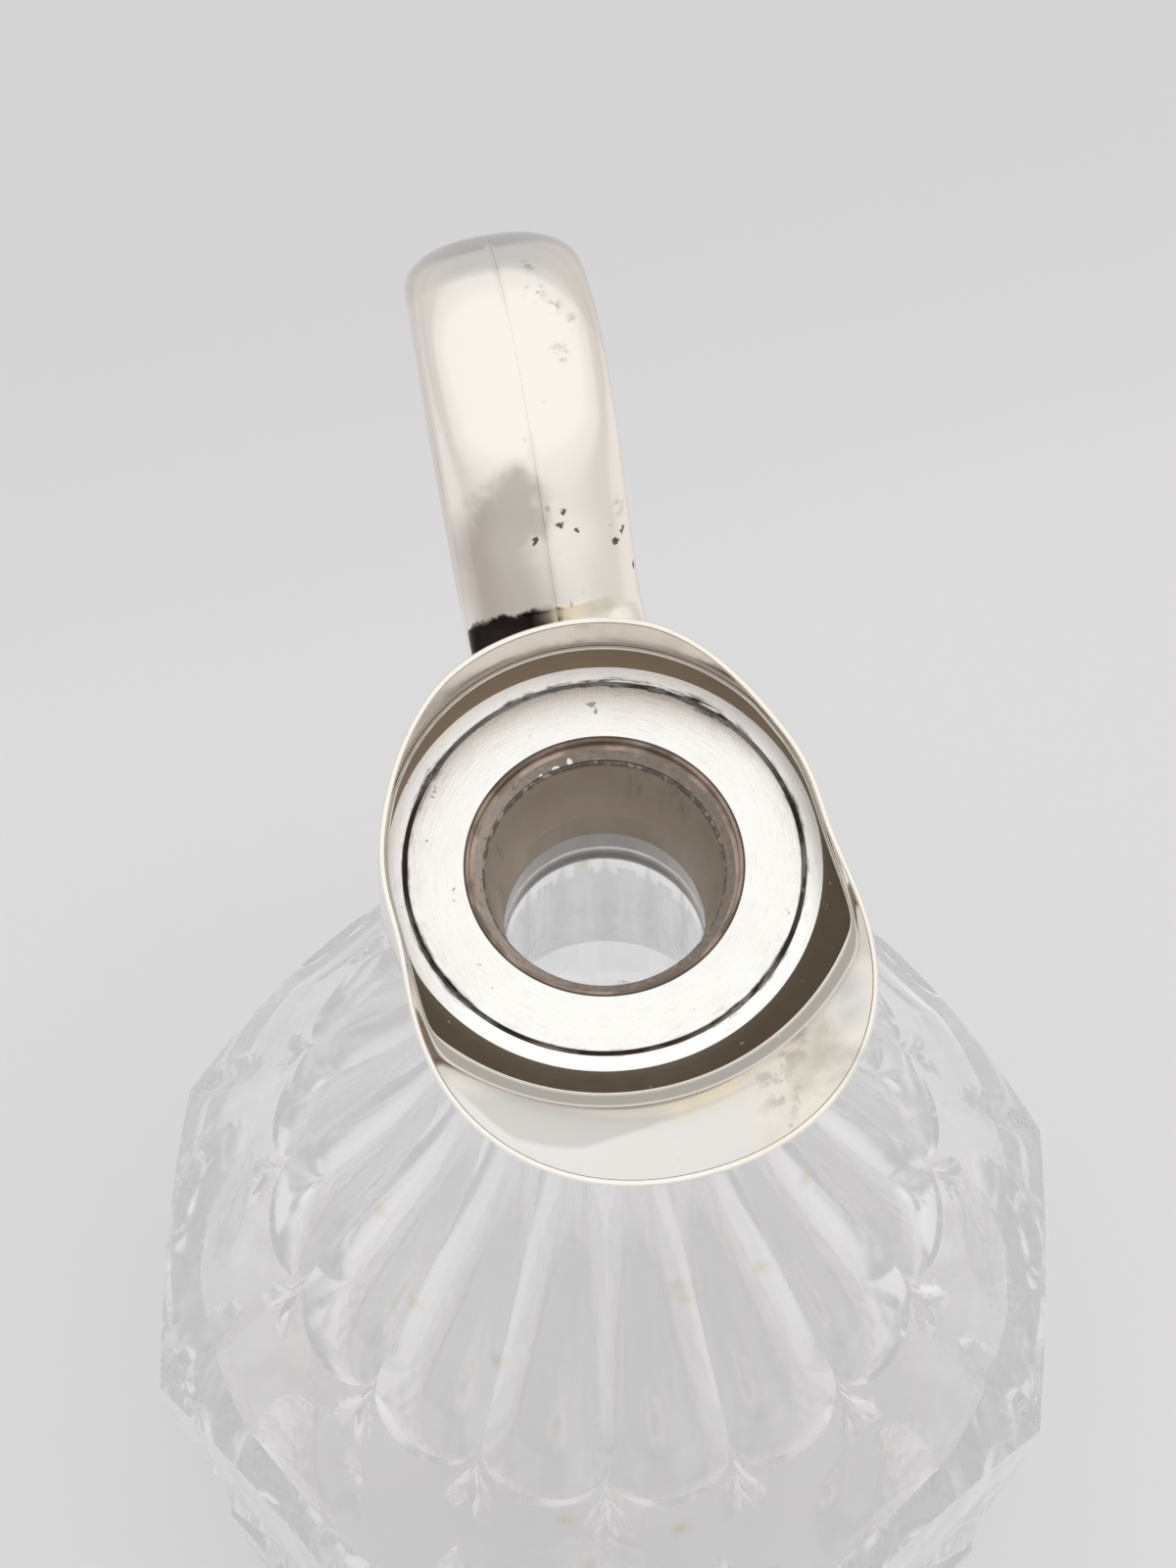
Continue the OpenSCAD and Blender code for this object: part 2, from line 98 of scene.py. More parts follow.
class CrystalSizes(PropertyGroup):
    girdle_h: FloatProperty(
        name="Girdle height", description="Height of the corners of the shoulder",
        default=114 * MM, unit="LENGTH")
    body_w: FloatProperty(
        name="Body width", description="Width across the narrow flats",
        default=125 * MM, unit="LENGTH")
    taper: FloatProperty(
        name="Taper", description="How much narrower the body is at the foot",
        default=4 * MM, unit="LENGTH")
    turn: FloatProperty(
        name="Turn", description="Turn of the glass against the spout",
        default=np.radians(-14.0), subtype="ANGLE")
    flute_depth: FloatProperty(
        name="Flute depth", description="Depth of a flute at the shoulder",
        default=2.2 * MM, unit="LENGTH")
    oval_depth: FloatProperty(
        name="Oval depth", description="Depth of the oval thumbprints",
        default=1.8 * MM, unit="LENGTH")
    diamond_depth: FloatProperty(
        name="Diamond depth", description="Depth of the grooves between the diamonds",
        default=1.7 * MM, unit="LENGTH")
    steps_per_flute: IntProperty(
        name="Steps per flute", description="Columns of the mesh in one flute",
        default=24, min=8, max=32)


class MountSizes(PropertyGroup):
    hole_r: FloatProperty(
        name="Hole radius", description="Radius of the hole in the mouth plate",
        default=14.3 * MM, unit="LENGTH")
    groove_r: FloatProperty(
        name="Groove radius", description="Radius of the turned groove in the plate",
        default=21.15 * MM, unit="LENGTH")
    liner_r: FloatProperty(
        name="Liner radius", description="Inside radius of the liner's wall",
        default=23.1 * MM, unit="LENGTH")
    side_h: FloatProperty(
        name="Side height", description="Height of the rim at the two sides",
        default=4.6 * MM, unit="LENGTH")
    lip_h: FloatProperty(
        name="Lip height", description="Height of the lip above the plate",
        default=9 * MM, unit="LENGTH")
    edge_r: FloatProperty(
        name="Edge rounding", description="Rounding of the sheet's edges",
        default=0.12 * MM, unit="LENGTH")
    silver: FloatVectorProperty(
        name="Silver", description="Colour of the polished silver plate",
        default=(0.90, 0.875, 0.82), subtype="COLOR", size=3, min=0, max=1)
    tarnish: FloatVectorProperty(
        name="Tarnish", description="Colour of the dull plating in the liner",
        default=(0.12, 0.097, 0.073), subtype="COLOR", size=3, min=0, max=1)


class HandleSizes(PropertyGroup):
    root_w: FloatProperty(
        name="Root width", description="Width of the strap at its root",
        default=19.2 * MM, unit="LENGTH")
    low_w: FloatProperty(
        name="Low width", description="Width of the strap at its lowest point",
        default=13 * MM, unit="LENGTH")
    foot_w: FloatProperty(
        name="Foot width", description="Width of the strap at its foot",
        default=8.5 * MM, unit="LENGTH")
    thickness: FloatProperty(
        name="Thickness", description="Thickness of the half-round strap",
        default=6.6 * MM, unit="LENGTH")
    seam_r: FloatProperty(
        name="Seam rounding", description="Rounding of the edges along the seam",
        default=0.05 * MM, unit="LENGTH")


class StageSizes(PropertyGroup):
    azimuth: FloatProperty(
        name="Camera azimuth", description="Azimuth of the camera, 0 looks along +Y",
        default=np.radians(-100.3), subtype="ANGLE")
    elevation: FloatProperty(
        name="Camera elevation", description="Elevation of the camera's axis",
        default=np.radians(66.14), subtype="ANGLE")
    roll: FloatProperty(
        name="Camera roll", description="Turn of the camera about its axis",
        default=np.radians(-0.87), subtype="ANGLE")
    distance: FloatProperty(
        name="Camera distance", description="From the camera to the level of the plate",
        default=368.6 * MM, unit="LENGTH")
    aim: FloatVectorProperty(
        name="Aim", description="Where the axis passes the plate's middle, in the view",
        default=(-1.6 * MM, 8.5 * MM), size=2, unit="LENGTH")
    focal_px: FloatProperty(
        name="Focal length", description="Focal length in pixels of a 1200 by 1600 frame",
        default=3559.0)
    backdrop: FloatVectorProperty(
        name="Backdrop", description="Colour of the floor and the backdrop",
        default=(0.705, 0.70, 0.708), subtype="COLOR", size=3, min=0, max=1)


# Meshes

def put_mesh(name, points, quads, sharp=30.0, shade=None):
    """Makes a closed mesh of quads; three-sided faces repeat their last corner.

    The volume is summed over the faces, and all faces are turned if it is negative.
    """
    corners = points[quads]
    first = np.einsum("ij,ij->i", corners[:, 0], np.cross(corners[:, 1], corners[:, 2]))
    second = np.einsum("ij,ij->i", corners[:, 0], np.cross(corners[:, 2], corners[:, 3]))
    if first.sum() + second.sum() < 0:
        quads = quads[:, ::-1]
    three = (quads[:, 2] == quads[:, 3]) | (quads[:, 0] == quads[:, 1])
    full = quads[~three]
    few = quads[three]
    few = np.where((few[:, 0] == few[:, 1])[:, None], few[:, [1, 2, 3]], few[:, [0, 1, 2]])
    mesh = bpy.data.meshes.new(name)
    mesh.vertices.add(len(points))
    mesh.vertices.foreach_set("co", (points * MM).astype(np.float32).ravel())
    mesh.loops.add(full.size + few.size)
    mesh.loops.foreach_set("vertex_index", np.concatenate([full.ravel(), few.ravel()]))
    mesh.polygons.add(len(full) + len(few))
    starts = np.concatenate([np.arange(len(full)) * 4, full.size + np.arange(len(few)) * 3])
    mesh.polygons.foreach_set("loop_start", starts)
    mesh.update(calc_edges=True)
    mesh.validate()
    mesh.polygons.foreach_set("use_smooth", np.ones(len(mesh.polygons), bool))
    mesh.set_sharp_from_angle(angle=np.radians(sharp))
    if shade is not None:
        layer = mesh.attributes.new("worn_edge", "FLOAT", "POINT")
        layer.data.foreach_set("value", shade.astype(np.float32).ravel())
    piece = bpy.data.objects.new(name, mesh)
    bpy.context.scene.collection.objects.link(piece)
    return piece


def grid_faces(rows, columns, closed):
    """Corner numbers of the squares between rings of points.

    A ring closes on itself, and the last ring joins the first if closed is true.
    """
    j = np.arange(rows if closed else rows - 1)[:, None]
    i = np.arange(columns)[None, :]
    a = j * columns + i
    b = j * columns + (i + 1) % columns
    c = ((j + 1) % rows) * columns + (i + 1) % columns
    d = ((j + 1) % rows) * columns + i
    return np.stack([a, b, c, d], -1).reshape(-1, 4)


def skin(name, rings, closed=False, sharp=30.0, shade=None):
    """Mesh through rings of points; open ends are closed by fans about their middles."""
    rows, columns, _ = rings.shape
    points = rings.reshape(-1, 3)
    quads = grid_faces(rows, columns, closed)
    if not closed:
        n = len(points)
        i = np.arange(columns)
        after = (i + 1) % columns
        last = (rows - 1) * columns
        points = np.concatenate([points, rings[:1].mean(1), rings[-1:].mean(1)])
        start = np.stack([np.full(columns, n), after, i, i], -1)
        end = np.stack([np.full(columns, n + 1), last + i, last + after, last + after], -1)
        quads = np.concatenate([quads, start, end])
    return put_mesh(name, points, quads, sharp, shade)


def lengths(vectors):
    """Length of each vector, as a column."""
    return np.linalg.norm(vectors, axis=1, keepdims=True)


def rounded(corners, radius, steps=4):
    """A closed outline with each corner replaced by a small parabola.

    Each bend starts and ends at the rounding radius from the corner, or at 0.45
    of the shorter of the two sides.
    """
    corners = np.asarray(corners, float)
    before = np.roll(corners, 1, 0) - corners
    after = np.roll(corners, -1, 0) - corners
    cut = np.minimum(radius, 0.45 * np.minimum(lengths(after), lengths(before)))
    start = (corners + before / lengths(before) * cut)[:, None]
    end = (corners + after / lengths(after) * cut)[:, None]
    t = np.linspace(0, 1, steps + 1)[None, :, None]
    bend = (1 - t) ** 2 * start + 2 * t * (1 - t) * corners[:, None] + t * t * end
    return bend.reshape(-1, 2)


def around(r, a, z):
    """Points at radius r and height z in the directions a."""
    return np.stack(np.broadcast_arrays(r * np.cos(a), r * np.sin(a), z), -1)


def circle(columns):
    """Evenly spaced directions, the first along X."""
    return np.linspace(0, 2 * np.pi, columns, endpoint=False)


def revolve(name, outline, columns=360, sharp=30.0):
    """Turns a closed outline of radius and height about the Z axis."""
    rings = around(outline[:, :1], circle(columns), outline[:, 1:])
    return skin(name, rings, True, sharp)


def smooth(x):
    """The S-shaped step 3x^2 - 2x^3 between 0 and 1."""
    t = np.clip(x, 0, 1)
    return t * t * (3 - 2 * t)


def lerp(a, b, t):
    """The value a share t of the way from a to b."""
    return a + (b - a) * t


def hermite(p, q, start, end, t):
    """Cubic from p to q that leaves along start and arrives along end."""
    return ((1 + 2 * t) * (1 - t) ** 2 * p + t * (1 - t) ** 2 * start
            + t * t * (3 - 2 * t) * q + t * t * (t - 1) * end)


def dress(piece, material, slot_name, *nodes):
    """Gives a piece its material and its body, and hides the CAD nodes it stands for; slot_name is
    not used.
    """
    piece.data.materials.append(material)
    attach(piece, BODY)
    if nodes:
        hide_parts(*nodes)
    return piece


# Materials

MIX_A, MIX_B, MIX_RESULT = 6, 7, 2


class Value:
    """What a node puts out. Sums, products and the like of it add Math nodes."""

    def __init__(self, tree, socket):
        self.tree = tree
        self.socket = socket

    def __mul__(self, other):
        return self.tree.math("MULTIPLY", self, other)

    def __add__(self, other):
        return self.tree.math("ADD", self, other)

    def __sub__(self, other):
        return self.tree.math("SUBTRACT", self, other)

    def __rsub__(self, other):
        return self.tree.math("SUBTRACT", other, self)

    def __truediv__(self, other):
        return self.tree.math("DIVIDE", self, other)

    def __abs__(self):
        return self.tree.math("ABSOLUTE", self)


class Tree:
    """The nodes of a material or a world, wired through short calls."""

    def __init__(self, owner):
        owner.use_nodes = True
        self.nodes = owner.node_tree.nodes
        self.links = owner.node_tree.links

    def join(self, value, socket):
        """Links a value or sets a plain one; None leaves the socket alone."""
        if isinstance(value, Value):
            self.links.new(value.socket, socket)
        elif value is not None:
            socket.default_value = value

    def add(self, kind, inputs, **settings):
        """A new node with its settings and its inputs, which go by name or number."""
        node = self.nodes.new("ShaderNode" + kind)
        for word, value in settings.items():
            setattr(node, word, value)
        for word, value in inputs.items():
            self.join(value, node.inputs[word])
        return node

    def node(self, kind, inputs, output=0, **settings):
        """One output of a new node."""
        return Value(self, self.add(kind, inputs, **settings).outputs[output])

    def math(self, kind, *values):
        return self.node("Math", dict(enumerate(values)), operation=kind)

    def most(self, a, b):
        return self.math("MAXIMUM", a, b)

    def blend(self, share, a, b):
        """Mixes two colours."""
        a, b = (c if isinstance(c, Value) else (*c, 1) for c in (a, b))
        return self.node("Mix", {0: share, MIX_A: a, MIX_B: b}, MIX_RESULT, data_type="RGBA")

    def rays(self):
        """1 for rays from the camera, off gloss, and through glass, each by itself."""
        path = self.add("LightPath", {})
        return [Value(self, path.outputs[word])
                for word in ("Is Camera Ray", "Is Glossy Ray", "Is Transmission Ray")]


class Finish(Tree):
    """A procedural material on Object coordinates."""

    def __init__(self, name):
        self.material = bpy.data.materials.new(name)
        super().__init__(self.material)
        self.shader = self.nodes["Principled BSDF"]
        self.place = self.node("TexCoord", {}, "Object")

    def axes(self):
        """The separate X, Y and Z in metres."""
        return [Value(self, s) for s in self.add("SeparateXYZ", {0: self.place}).outputs]

    def from_axis(self, x, y):
        """Distance from the Z axis."""
        return self.math("SQRT", x * x + y * y)

    def stretch(self, scale, turn=(0, 0, 0)):
        """Object coordinates, scaled along each axis and turned."""
        return self.node("Mapping", {"Scale": scale, "Rotation": turn, "Vector": self.place})

    def noise(self, scale, detail=3.0, rough=0.55, vector=None, warp=0.0):
        return self.node("TexNoise", {
            "Scale": scale, "Detail": detail, "Roughness": rough, "Distortion": warp,
            "Vector": vector or self.place}, "Fac")

    def span(self, value, low, high, out_low=0.0, out_high=1.0):
        """Maps a value from one range to another, smoothly and with its ends held."""
        return self.node("MapRange", {
            "Value": value, "From Min": low, "From Max": high, "To Min": out_low,
            "To Max": out_high}, "Result", interpolation_type="SMOOTHSTEP")

    def coats(self, base, *coats):
        """Lays coats over a colour, each given by its share and its colour."""
        for share, colour in coats:
            base = self.blend(share, base, colour)
        return base

    def warped(self, scale, amount):
        """Object coordinates pushed about by noise, for ragged outlines."""
        cloud = self.node("TexNoise", {
            "Scale": scale, "Detail": 3.0, "Vector": self.place}, "Color")
        shift = self.node("VectorMath", {0: cloud, 1: (amount,) * 3, 2: (-amount / 2,) * 3},
                          operation="MULTIPLY_ADD")
        return self.node("VectorMath", {0: self.place, 1: shift}, operation="ADD")

    def marks(self, places, reach, vector):
        """1 at each of several places in millimetres over the plate, 0 beyond the reach."""
        share = None
        for x, y, z in places:
            away = self.node("VectorMath", {0: vector, 1: (x * MM, y * MM, over(z))}, "Value",
                             operation="DISTANCE")
            one = self.span(away, 0.0, reach * MM, 1.0, 0.0)
            share = self.most(share, one) if share else one
        return share

    def bump(self, height, depth, normal=None):
        return self.node("Bump", {
            "Strength": 1.0, "Distance": depth, "Height": height, "Normal": normal})

    def finish(self, **sockets):
        """Sets or links the shader's sockets, named with _ for a space."""
        for word, value in sockets.items():
            socket = self.shader.inputs[word.replace("_", " ")]
            if socket.type == "RGBA" and not isinstance(value, Value):
                value = (*value, 1)
            self.join(value, socket)
        return self.material


def brighter(colour, factor):
    """A colour times a factor, at most white."""
    return tuple(min(1.0, c * factor) for c in colour)


# Marks, painted shade, painted reflections and a painted highlight, by their places in millimetres
# from the axis and over the plate

CRUMBS = ((12.9, 1.1, -1.8), (12.3, 2.8, -1.9), (11.9, 4.2, -1.9))
# Top and end of a band of painted shade round the neck under the metal band
NECK_SHADE_TOP = -27.9
NECK_SHADE_END = -30.7
# Painted refraction: places of amber spots where a yellowish part shows through the glass
REFRACTED_AMBER_SPOTS = ((-7.4, 30.1, -81.5), (-18.7, 28.0, -86.0), (-28.0, 19.5, -86.3),
                (-44.1, 14.2, -109.9), (-47.7, -0.4, -112.3), (-25.4, -14.9, -76.9),
                (-16.8, -22.2, -72.9), (-28.3, -4.2, -74.7), (-26.8, -4.0, -72.5))
HANDLE_PITS = ((31.3, 1.2, 15.3), (33.0, -2.1, 17.3), (32.2, -1.7, 16.3), (31.6, -3.3, 15.5),
               (32.1, -8.3, 13.0), (30.9, -7.3, 12.7), (29.8, -9.0, 9.2), (64.6, 9.0, 7.0))
HANDLE_WORN = ((57.6, -3.2, 26.5), (53.8, -3.3, 27.4), (51.9, -4.9, 27.4), (49.8, -6.7, 26.6),
               (46.4, -4.6, 26.6), (34.0, -8.0, 14.9))
# Painted reflection: places of a dark reflection on the strap, and of its blurred spread
HANDLE_DARK_REFLECTION = ((34.6, 3.0, 19.0), (33.0, 2.8, 17.2), (33.2, 5.2, 16.8), (31.4, 4.4, 14.9))
HANDLE_DARK_REFLECTION_HAZE = ((31.0, 6.0, 13.8), (28.6, 5.6, 11.3), (26.8, 5.0, 9.7))
# Painted highlight: places of a yellowish highlight in the trough
TROUGH_HIGHLIGHT = ((-29.2, -4.7, 5.3), (-28.5, -6.8, 5.2), (-29.7, -1.5, 5.4))
TROUGH_STAINS = ((-26.7, -13.3, 5.5), (-28.8, -11.8, 6.1), (-25.0, -15.7, 5.3),
                 (-31.5, -12.7, 7.3))
TROUGH_BLUE = ((-20.7, -21.3, 5.5), (-23.2, -21.2, 6.3))

# Colours of the dirt and wear, of the painted shade round the neck and of the painted amber
# refraction

NECK_SHADE_COLOUR = (0.155, 0.122, 0.09)
REFRACTED_AMBER = (0.86, 0.72, 0.44)
BLACK_DIRT = (0.022, 0.018, 0.016)
GROOVE_DIRT = (0.045, 0.033, 0.023)
PLASTER = (0.85, 0.83, 0.79)


def crystal_finish():
    """Clear lead crystal with wipe marks, amber spots of painted refraction, and a dark band of
    painted shade round the neck under the metal band.
    """
    f = Finish("crystal")
    x, y, z = f.axes()
    wipe = f.noise(38.0, 4.0, 0.6, f.stretch((1, 1, 0.35)), 0.6)
    # Painted refraction: amber spots where a yellowish part shows through the glass
    specks = f.marks(REFRACTED_AMBER_SPOTS, 2.0, f.warped(400.0, 0.002))
    # Painted shade: a dark, nearly opaque band round the outside of the neck under the metal band
    wavy = z + (f.noise(300.0) * 0.0006 - 0.0003)
    neck_shade = (f.span(wavy, over(NECK_SHADE_END - 0.15), over(NECK_SHADE_END + 0.15))
             * f.span(wavy, over(NECK_SHADE_TOP - 0.1), over(NECK_SHADE_TOP + 0.1), 1.0, 0.0)
             * f.span(f.from_axis(x, y), (BORE_R + 1.0) * MM, (BORE_R + 2.0) * MM))
    clear = f.blend(f.span(f.noise(22.0), 0.35, 0.7), (0.999, 0.997, 0.995), (0.988, 0.982, 0.977))
    petals = f.span(z, 0.118, 0.135) * f.span(abs(y), 0.015, 0.035, 0.10, 0.05)
    star = f.span(z, 0.005, 0.009, 0.34, 0.0)
    rough = f.most(star, petals) + f.span(wipe, 0.45, 0.75, 0.02, 0.09)
    return f.finish(
        Base_Color=f.coats(clear, (specks * 0.9, REFRACTED_AMBER), (neck_shade, NECK_SHADE_COLOUR)),
        Roughness=neck_shade * 0.4 + rough, IOR=1.55,
        Transmission_Weight=f.span(neck_shade, 0.0, 1.0, 1.0, 0.05),
        Normal=f.bump(f.noise(160.0, 2.0, 0.5), 0.00001))


def handle_marks(f, base):
    """Painted greyer reflection on the far end, painted warm reflections on the sides, a painted
    dark reflection, worn spots, pits and black dirt at the root.
    """
    x, y, z = f.axes()
    # Painted reflection: the strap turns greyer towards its far end
    right = f.math("MINIMUM", y, 0.0)
    far = right * right * 110.0 + x
    # Painted reflection: a dark, blurred reflection on the strap
    dark_reflection = f.most(f.marks(HANDLE_DARK_REFLECTION, 5.6, f.warped(260.0, 0.005)),
                    f.marks(HANDLE_DARK_REFLECTION_HAZE, 9.5, f.warped(90.0, 0.003)) * 0.9)
    worn = f.marks(HANDLE_WORN, 1.6, f.warped(300.0, 0.0016)) * f.span(f.noise(900.0), 0.45, 0.6)
    pits = f.marks(HANDLE_PITS, 0.75, f.warped(1500.0, 0.0014))
    ragged = f.noise(500.0, 3.0, 0.6)
    edge = ragged * 0.0018 + f.from_axis(x, y) - y * y * 28.0
    dirt = (f.span(edge, 0.0268, 0.0273, 1.0, 0.0) * f.span(y, -0.001, 0.003)
            * f.span(ragged * 0.0016 + z, over(ROOT_H - 2.6), over(ROOT_H - 1.4)))
    return f.coats(
        # Painted reflection: greyer far end
        base, (f.span(far, 0.0568, 0.0584, 0.0, 0.85), (0.72, 0.705, 0.68)),
        # Painted reflection: warmer towards the strap's sides
        (f.span(abs(y), 0.003, 0.009) * 0.65, (0.93, 0.85, 0.755)),
        # Painted dark reflection
        (f.span(dark_reflection, 0.0, 0.8) * 0.6, (0.34, 0.29, 0.26)),
        (worn * 0.6, (0.3, 0.27, 0.24)),
        (f.span(pits, 0.3, 0.7, 0.0, 0.9), (0.06, 0.045, 0.038)),
        (dirt, BLACK_DIRT))


def trough_marks(f, base):
    """Neutral front with a wavy grey patch of painted shade, a dark back, a painted yellow
    highlight, brown stains and blue-grey patches.
    """
    x, y, _ = f.axes()
    r = f.from_axis(x, y)
    front = f.span(y, -0.015, -0.003) * f.span(x, -0.026, -0.022, 1.0, 0.0)
    # Painted shade: a wavy grey patch across the front of the trough
    swell = f.span(y, -0.003, 0.0125) * f.span(y, 0.0145, 0.021, 1.0, 0.0)
    edge = f.noise(150.0, 2.0) * 0.0012 + (swell * 0.0031 + 0.0296)
    shade_patch = f.span(r - edge, 0.0002, 0.0010, 1.0, 0.0) * front
    inside = (f.span(r, (COLLAR_R - 0.35) * MM, (COLLAR_R - 0.15) * MM, 1.0, 0.0)
              * f.span(x, 0.004, 0.012))
    stains = (f.marks(TROUGH_STAINS, 3.6, f.warped(120.0, 0.004))
              * f.span(f.noise(420.0, 4.0, 0.65), 0.48, 0.62))
    return f.coats(
        # Painted shade in the wavy grey patch
        base, (front * 0.75, (0.88, 0.875, 0.855)), (shade_patch * 0.42, (0.46, 0.45, 0.43)),
        (inside * 0.5, (0.43, 0.34, 0.32)),
        # Painted yellow highlight
        (f.marks(TROUGH_HIGHLIGHT, 3.4, f.warped(120.0, 0.003)) * 0.5, (0.93, 0.84, 0.60)),
        (stains * 0.55, (0.38, 0.33, 0.27)),
        (f.marks(TROUGH_BLUE, 3.2, f.warped(120.0, 0.004)) * 0.5, (0.46, 0.50, 0.55)))


def silver_finish(name, colour, tarnish, spots=0.5, extra=None):
    """Polished silver plate: warm, finely scratched, with stains and dark pits.

    A piece's own marks are painted on by the function named in extra.
    """
    f = Finish(name)
    cloud = f.noise(30.0, 5.0, 0.6, warp=0.8)
    stain = f.span(cloud, 0.52, 0.72) * f.span(f.noise(9.0), 0.42, 0.6)
    warmer = (colour[0], colour[1] * 0.975, colour[2] * 0.93)
    pits = f.span(f.noise(520.0, 2.0, 0.5), 0.70, 0.76) * f.span(f.noise(45.0, 2.0), 0.5, 0.62)
    base = f.coats(colour, (f.span(f.noise(14.0, 2.0), 0.35, 0.65), warmer),
                   (stain * 0.35, tarnish), (pits * spots, (0.12, 0.10, 0.09)))
    if extra:
        base = extra(f, base)
    hairs = (f.noise(900.0, 2.0, 0.7, f.stretch((1.0, 0.08, 1.0), (0.3, 0.2, 0.6)))
             + f.noise(900.0, 2.0, 0.7, f.stretch((0.08, 1.0, 1.0), (0.1, 0.5, 0.2))))
    return f.finish(
        Base_Color=base, Metallic=1.0,
        Roughness=f.span(cloud, 0.35, 0.75, 0.10, 0.24) + stain * 0.15,
        Normal=f.bump(f.noise(26.0, 3.0), 0.00012, f.bump(hairs, 0.000002)))


def copper_colour(f):
    """Pinkish copper, browner in places, where the plating has gone."""
    return f.blend(f.span(f.noise(180.0, 3.0), 0.4, 0.6), (0.25, 0.19, 0.15), (0.48, 0.375, 0.32))


def plate_finish(colour, hole_r, groove_r):
    """Bright plate: circular scratches, dirt along the groove, a worn coppery hole edge."""
    f = Finish("plate_silver")
    x, y, _ = f.axes()
    r = f.from_axis(x, y)
    angle = f.math("ARCTAN2", y, x)
    rings, hairs = (
        f.noise(1.0, 3.0, 0.7, f.node("CombineXYZ", {0: r * fine, 1: angle * length}))
        for fine, length in ((4200.0, 5.0), (13000.0, 9.0)))
    blotch = f.noise(120.0, 4.0, 0.65)
    edge_r = (hole_r + 0.5) * MM
    off = abs(r - groove_r * MM)
    in_groove = (f.span(off, 0.0002, 0.00035, 1.0, 0.0)
                 * f.span(f.noise(85.0, 4.0, 0.6, warp=0.5), 0.38, 0.58, 0.75, 1.0))
    width = f.span(x, -0.008, 0.021, 0.55, 1.0) * 0.0012
    reach = width * f.span(blotch, 0.35, 0.7, 0.2, 1.0) + 0.0002
    dirt = (f.span(off / reach, 0.3, 1.0, 1.0, 0.0) * f.span(rings, 0.40, 0.56)
            * f.span(blotch, 0.36, 0.5))
    dark = f.most(in_groove, dirt)
    scratches = (f.span(off, 0.0004, 0.003, 1.0, 0.1) * f.span(blotch, 0.35, 0.6)
                 * f.span(hairs, 0.5, 0.66))
    outer = f.span(r, (groove_r + 0.1) * MM, (groove_r + 0.5) * MM)
    copper = f.span(r, edge_r - 0.1 * MM, edge_r, 1.0, 0.0)
    rim_line = f.span(abs(r - edge_r), 0.00006, 0.00016, 0.95, 0.0)
    specks = f.span(f.noise(650.0, 2.0), 0.72, 0.76)
    gouges = f.span(f.noise(420.0, 1.0, 0.5, f.stretch((1, 0.22, 1), (0, 0, 0.7))), 0.72, 0.75)
    base = f.coats(
        colour, (outer * 0.95, (1.0, 0.99, 0.97)),
        (f.span(rings, 0.56, 0.72) * 0.22, (0.5, 0.46, 0.40)),
        (scratches * 0.5, (0.34, 0.30, 0.26)),
        (f.span(f.noise(60.0, 3.0), 0.5, 0.72) * 0.12, (0.72, 0.62, 0.45)),
        (gouges * 0.5, (0.36, 0.32, 0.27)), (specks * 0.7, (0.25, 0.2, 0.16)),
        (copper, copper_colour(f)), (f.most(dark, rim_line), GROOVE_DIRT))
    dull = f.most(f.most(dark, copper), outer * 0.4)
    return f.finish(
        Base_Color=base, Metallic=0.9 - f.most(outer * 0.8, dark * 0.8),
        Roughness=f.span(rings, 0.3, 0.7, 0.22, 0.36) + dull * 0.45,
        Specular_IOR_Level=f.span(dark, 0.0, 1.0, 0.5, 0.05),
        Normal=f.bump(rings + hairs, 0.000008))


def liner_finish(colour, bright):
    """Dull brown plating inside the spout, brighter on its worn edges."""
    f = Finish("old_silver")
    edge = f.node("Attribute", {}, "Fac", attribute_name="worn_edge")
    cloud = f.noise(70.0, 5.0, 0.65)
    front = tuple(c * share for c, share in zip(colour, (0.72, 0.66, 0.56)))
    back = tuple(c * share for c, share in zip(colour, (1.8, 1.65, 1.45)))
    base = f.coats(
        front, (f.span(f.axes()[0], -0.006, 0.014), back),
        (f.span(cloud, 0.35, 0.7, 0.0, 0.08), (0.45, 0.39, 0.32)),
        (f.span(f.noise(700.0, 2.0), 0.72, 0.76) * 0.5, (0.5, 0.48, 0.44)), (edge, bright))
    return f.finish(
        Base_Color=base, Metallic=f.span(edge, 0.0, 1.0, 0.15, 1.0),
        Roughness=f.span(cloud, 0.3, 0.7, 0.56, 0.7) - edge * 0.22,
        Specular_IOR_Level=0.08, Normal=f.bump(cloud, 0.00003))


def sleeve_finish():
    """Grey-brown lining of the mouth with scrape marks down its wall, and painted light that makes
    it lighter towards the bottom.
    """
    f = Finish("sleeve_metal")
    z = f.axes()[2]
    scrape = f.noise(260.0, 4.0, 0.7, f.stretch((1, 1, 0.12)))
    cloud = f.noise(55.0, 4.0, 0.6)
    crumbs = (f.span(z, over(-SLEEVE_TOP - 0.9), over(-SLEEVE_TOP - 0.2))
              * f.span(f.noise(800.0, 4.0, 0.7), 0.42, 0.52))
    base = f.coats(
        (0.34, 0.28, 0.225), (f.span(cloud, 0.3, 0.7), (0.43, 0.365, 0.30)),
        # Painted light: lighter towards the bottom of the sleeve
        (f.span(z, over(-16), over(-4), 0.7, 0.0), (0.66, 0.56, 0.46)),
        (f.span(scrape, 0.56, 0.68) * f.span(cloud, 0.42, 0.62) * 0.6, (0.11, 0.09, 0.075)),
        (crumbs * 0.8, (0.07, 0.06, 0.05)))
    return f.finish(Base_Color=base, Metallic=0.35, Roughness=f.span(scrape, 0.3, 0.7, 0.5, 0.66),
                    Normal=f.bump(scrape, 0.00003))


